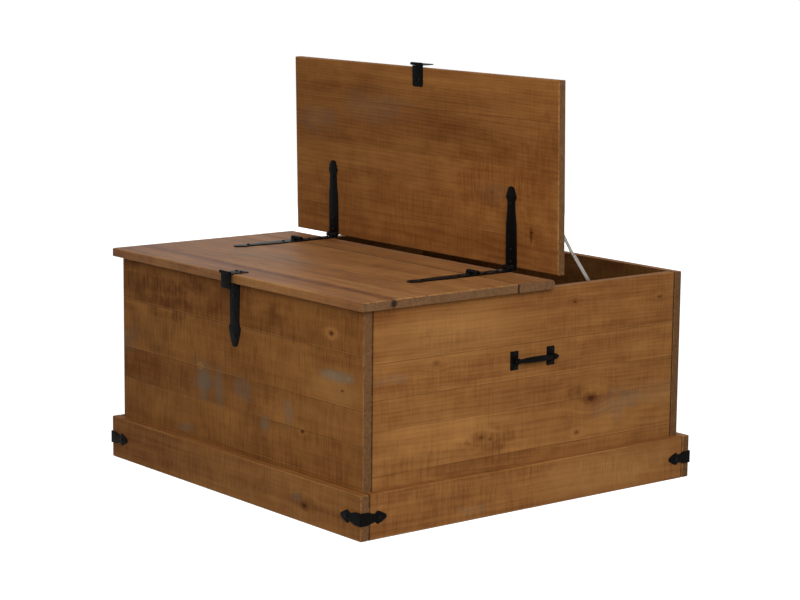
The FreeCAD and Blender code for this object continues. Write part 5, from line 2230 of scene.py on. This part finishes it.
@dataclass
class Studio:
    """A white floor and room with soft lamps."""

    floor_size: float = 60.0
    floor_grey: float = 0.4
    floor_glow: float = 0.98
    ambient: float = 0.10
    lamps: tuple[Softbox, ...] = (
        Softbox("key", (3.3, -1.6, 1.9), (0.1, 0.0, 0.35), (2.0, 1.8), 100.0),
        Softbox("fill", (1.8, -3.4, 1.7), (0.1, 0.0, 0.35), (2.2, 2.0), 34.0),
        Softbox("top", (0.6, 0.2, 3.4), (0.1, 0.0, 0.4), (2.4, 2.4), 20.0),
        Softbox("behind", (-2.9, 2.9, 0.62), (0.0, 0.0, 0.3), (2.6, 0.8), 44.0, glints=False))

    def build(self) -> None:
        """Makes the floor, the room and the lamps."""
        self._floor()
        self._room()
        for lamp in self.lamps:
            lamp.light()
        LOG.info("studio: floor, room and lamps")

    def _floor(self) -> None:
        """A white floor that shows white where it is lit and keeps the trunk's shadow."""
        half = self.floor_size / 2
        mesh = bpy.data.meshes.new("floor")
        corners = [(-half, -half, 0.0), (half, -half, 0.0), (half, half, 0.0), (-half, half, 0.0)]
        mesh.from_pydata(corners, [], [(0, 1, 2, 3)])
        floor = bpy.data.objects.new("floor", mesh)
        bpy.context.scene.collection.objects.link(floor)
        graph = Graph.of_material("white_floor")
        diffuse = graph.node("ShaderNodeBsdfDiffuse")
        graph.feed(diffuse.inputs["Color"], (self.floor_grey,) * 3)
        glow = graph.node("ShaderNodeEmission")
        graph.feed(glow.inputs["Strength"],
                   graph.times(self._seen(graph), self.floor_glow))
        both = graph.node("ShaderNodeAddShader")
        output = graph.node("ShaderNodeOutputMaterial")
        graph.links.new(diffuse.outputs[0], both.inputs[0])
        graph.links.new(glow.outputs[0], both.inputs[1])
        graph.links.new(both.outputs[0], output.inputs[0])
        paint(floor, graph.owner)

    @staticmethod
    def _seen(graph: Graph) -> Socket:
        """Tells what is seen from what only lights the trunk.

        Args:
            graph: The graph to add to.

        Returns:
            1 for what is seen directly or in a gloss, and 0 for the rest.
        """
        path = graph.node("ShaderNodeLightPath")
        seen = graph.larger(path.outputs["Is Camera Ray"],
                          path.outputs["Is Glossy Ray"])
        return graph.larger(seen, path.outputs["Is Transmission Ray"])

    def _room(self) -> None:
        """A white room that lights the trunk more softly than it looks."""
        world = bpy.data.worlds.new("white_room")
        bpy.context.scene.world = world
        graph = Graph(world)
        back = graph.node("ShaderNodeBackground")
        output = graph.node("ShaderNodeOutputWorld")
        strength = graph.scaled(self._seen(graph), 1.0 - self.ambient, self.ambient)
        graph.feed(back.inputs["Strength"], strength)
        graph.feed(back.inputs["Color"], (1.0, 1.0, 1.0))
        graph.links.new(back.outputs[0], output.inputs[0])


@dataclass
class Camera:
    """A long lens that looks down a little at the front right corner."""

    at: tuple[float, float, float] = (3.58282, -2.88766, 1.11449)
    azimuth: float = 51.09
    elevation: float = 9.51
    roll: float = -0.6
    lens: float = 103.98
    sensor: float = 36.0
    far: float = 200.0

    def place(self) -> None:
        """Makes the camera the scene's camera."""
        turn, lift, tilt = (math.radians(angle)
                            for angle in (self.azimuth, self.elevation, self.roll))
        back = Vector((math.sin(turn) * math.cos(lift), -math.cos(turn) * math.cos(lift),
                       math.sin(lift)))
        right = spot(math.cos(turn), math.sin(turn))
        up = back.cross(right)
        level = right * math.cos(tilt) - up * math.sin(tilt)
        upright = right * math.sin(tilt) + up * math.cos(tilt)
        data = bpy.data.cameras.new("camera")
        data.sensor_width = self.sensor
        data.lens = self.lens
        data.clip_end = self.far
        camera = bpy.data.objects.new("camera", data)
        basis = Matrix((level, upright, back)).transposed()
        camera.matrix_world = Matrix.Translation(self.at) @ basis.to_4x4()
        bpy.context.scene.collection.objects.link(camera)
        bpy.context.scene.camera = camera
        bpy.context.scene.view_settings.view_transform = "Standard"


# ---- Assembly ----


def build_metalwork() -> None:
    """Makes the hinges, hasps, brackets, handles and stays, and all their fixings."""
    iron = IronFinish().material()
    screw_iron = IronFinish("black_screw_iron", dimple=500.0, specular=0.06).material()
    steel = SteelFinish().material()
    hinges = [StrapHinge(half, side, iron) for half in Half for side in Side]
    hasps = [Hasp(half, iron) for half in Half]
    brackets = [CornerBracket(half, side, iron) for half in Half for side in Side]
    handles = [BarHandle(side, iron) for side in Side]
    stays = [LidStay(half, steel) for half in Half]
    for part in (*hinges, HingePins(iron), *hasps, *brackets, *handles,
                 ScrewGroups(screw_iron, hinges, hasps, brackets, handles), *stays,
                 StayFixings(stays, steel)):
        part.build()


def main() -> None:
    """Dresses the trunk, sub-assembly by sub-assembly."""
    logging.basicConfig(level=logging.INFO, format="%(name)s %(message)s")
    Camera().place()
    Studio().build()
    Woodwork().dress()
    build_metalwork()


if __name__ == "__main__":
    main()
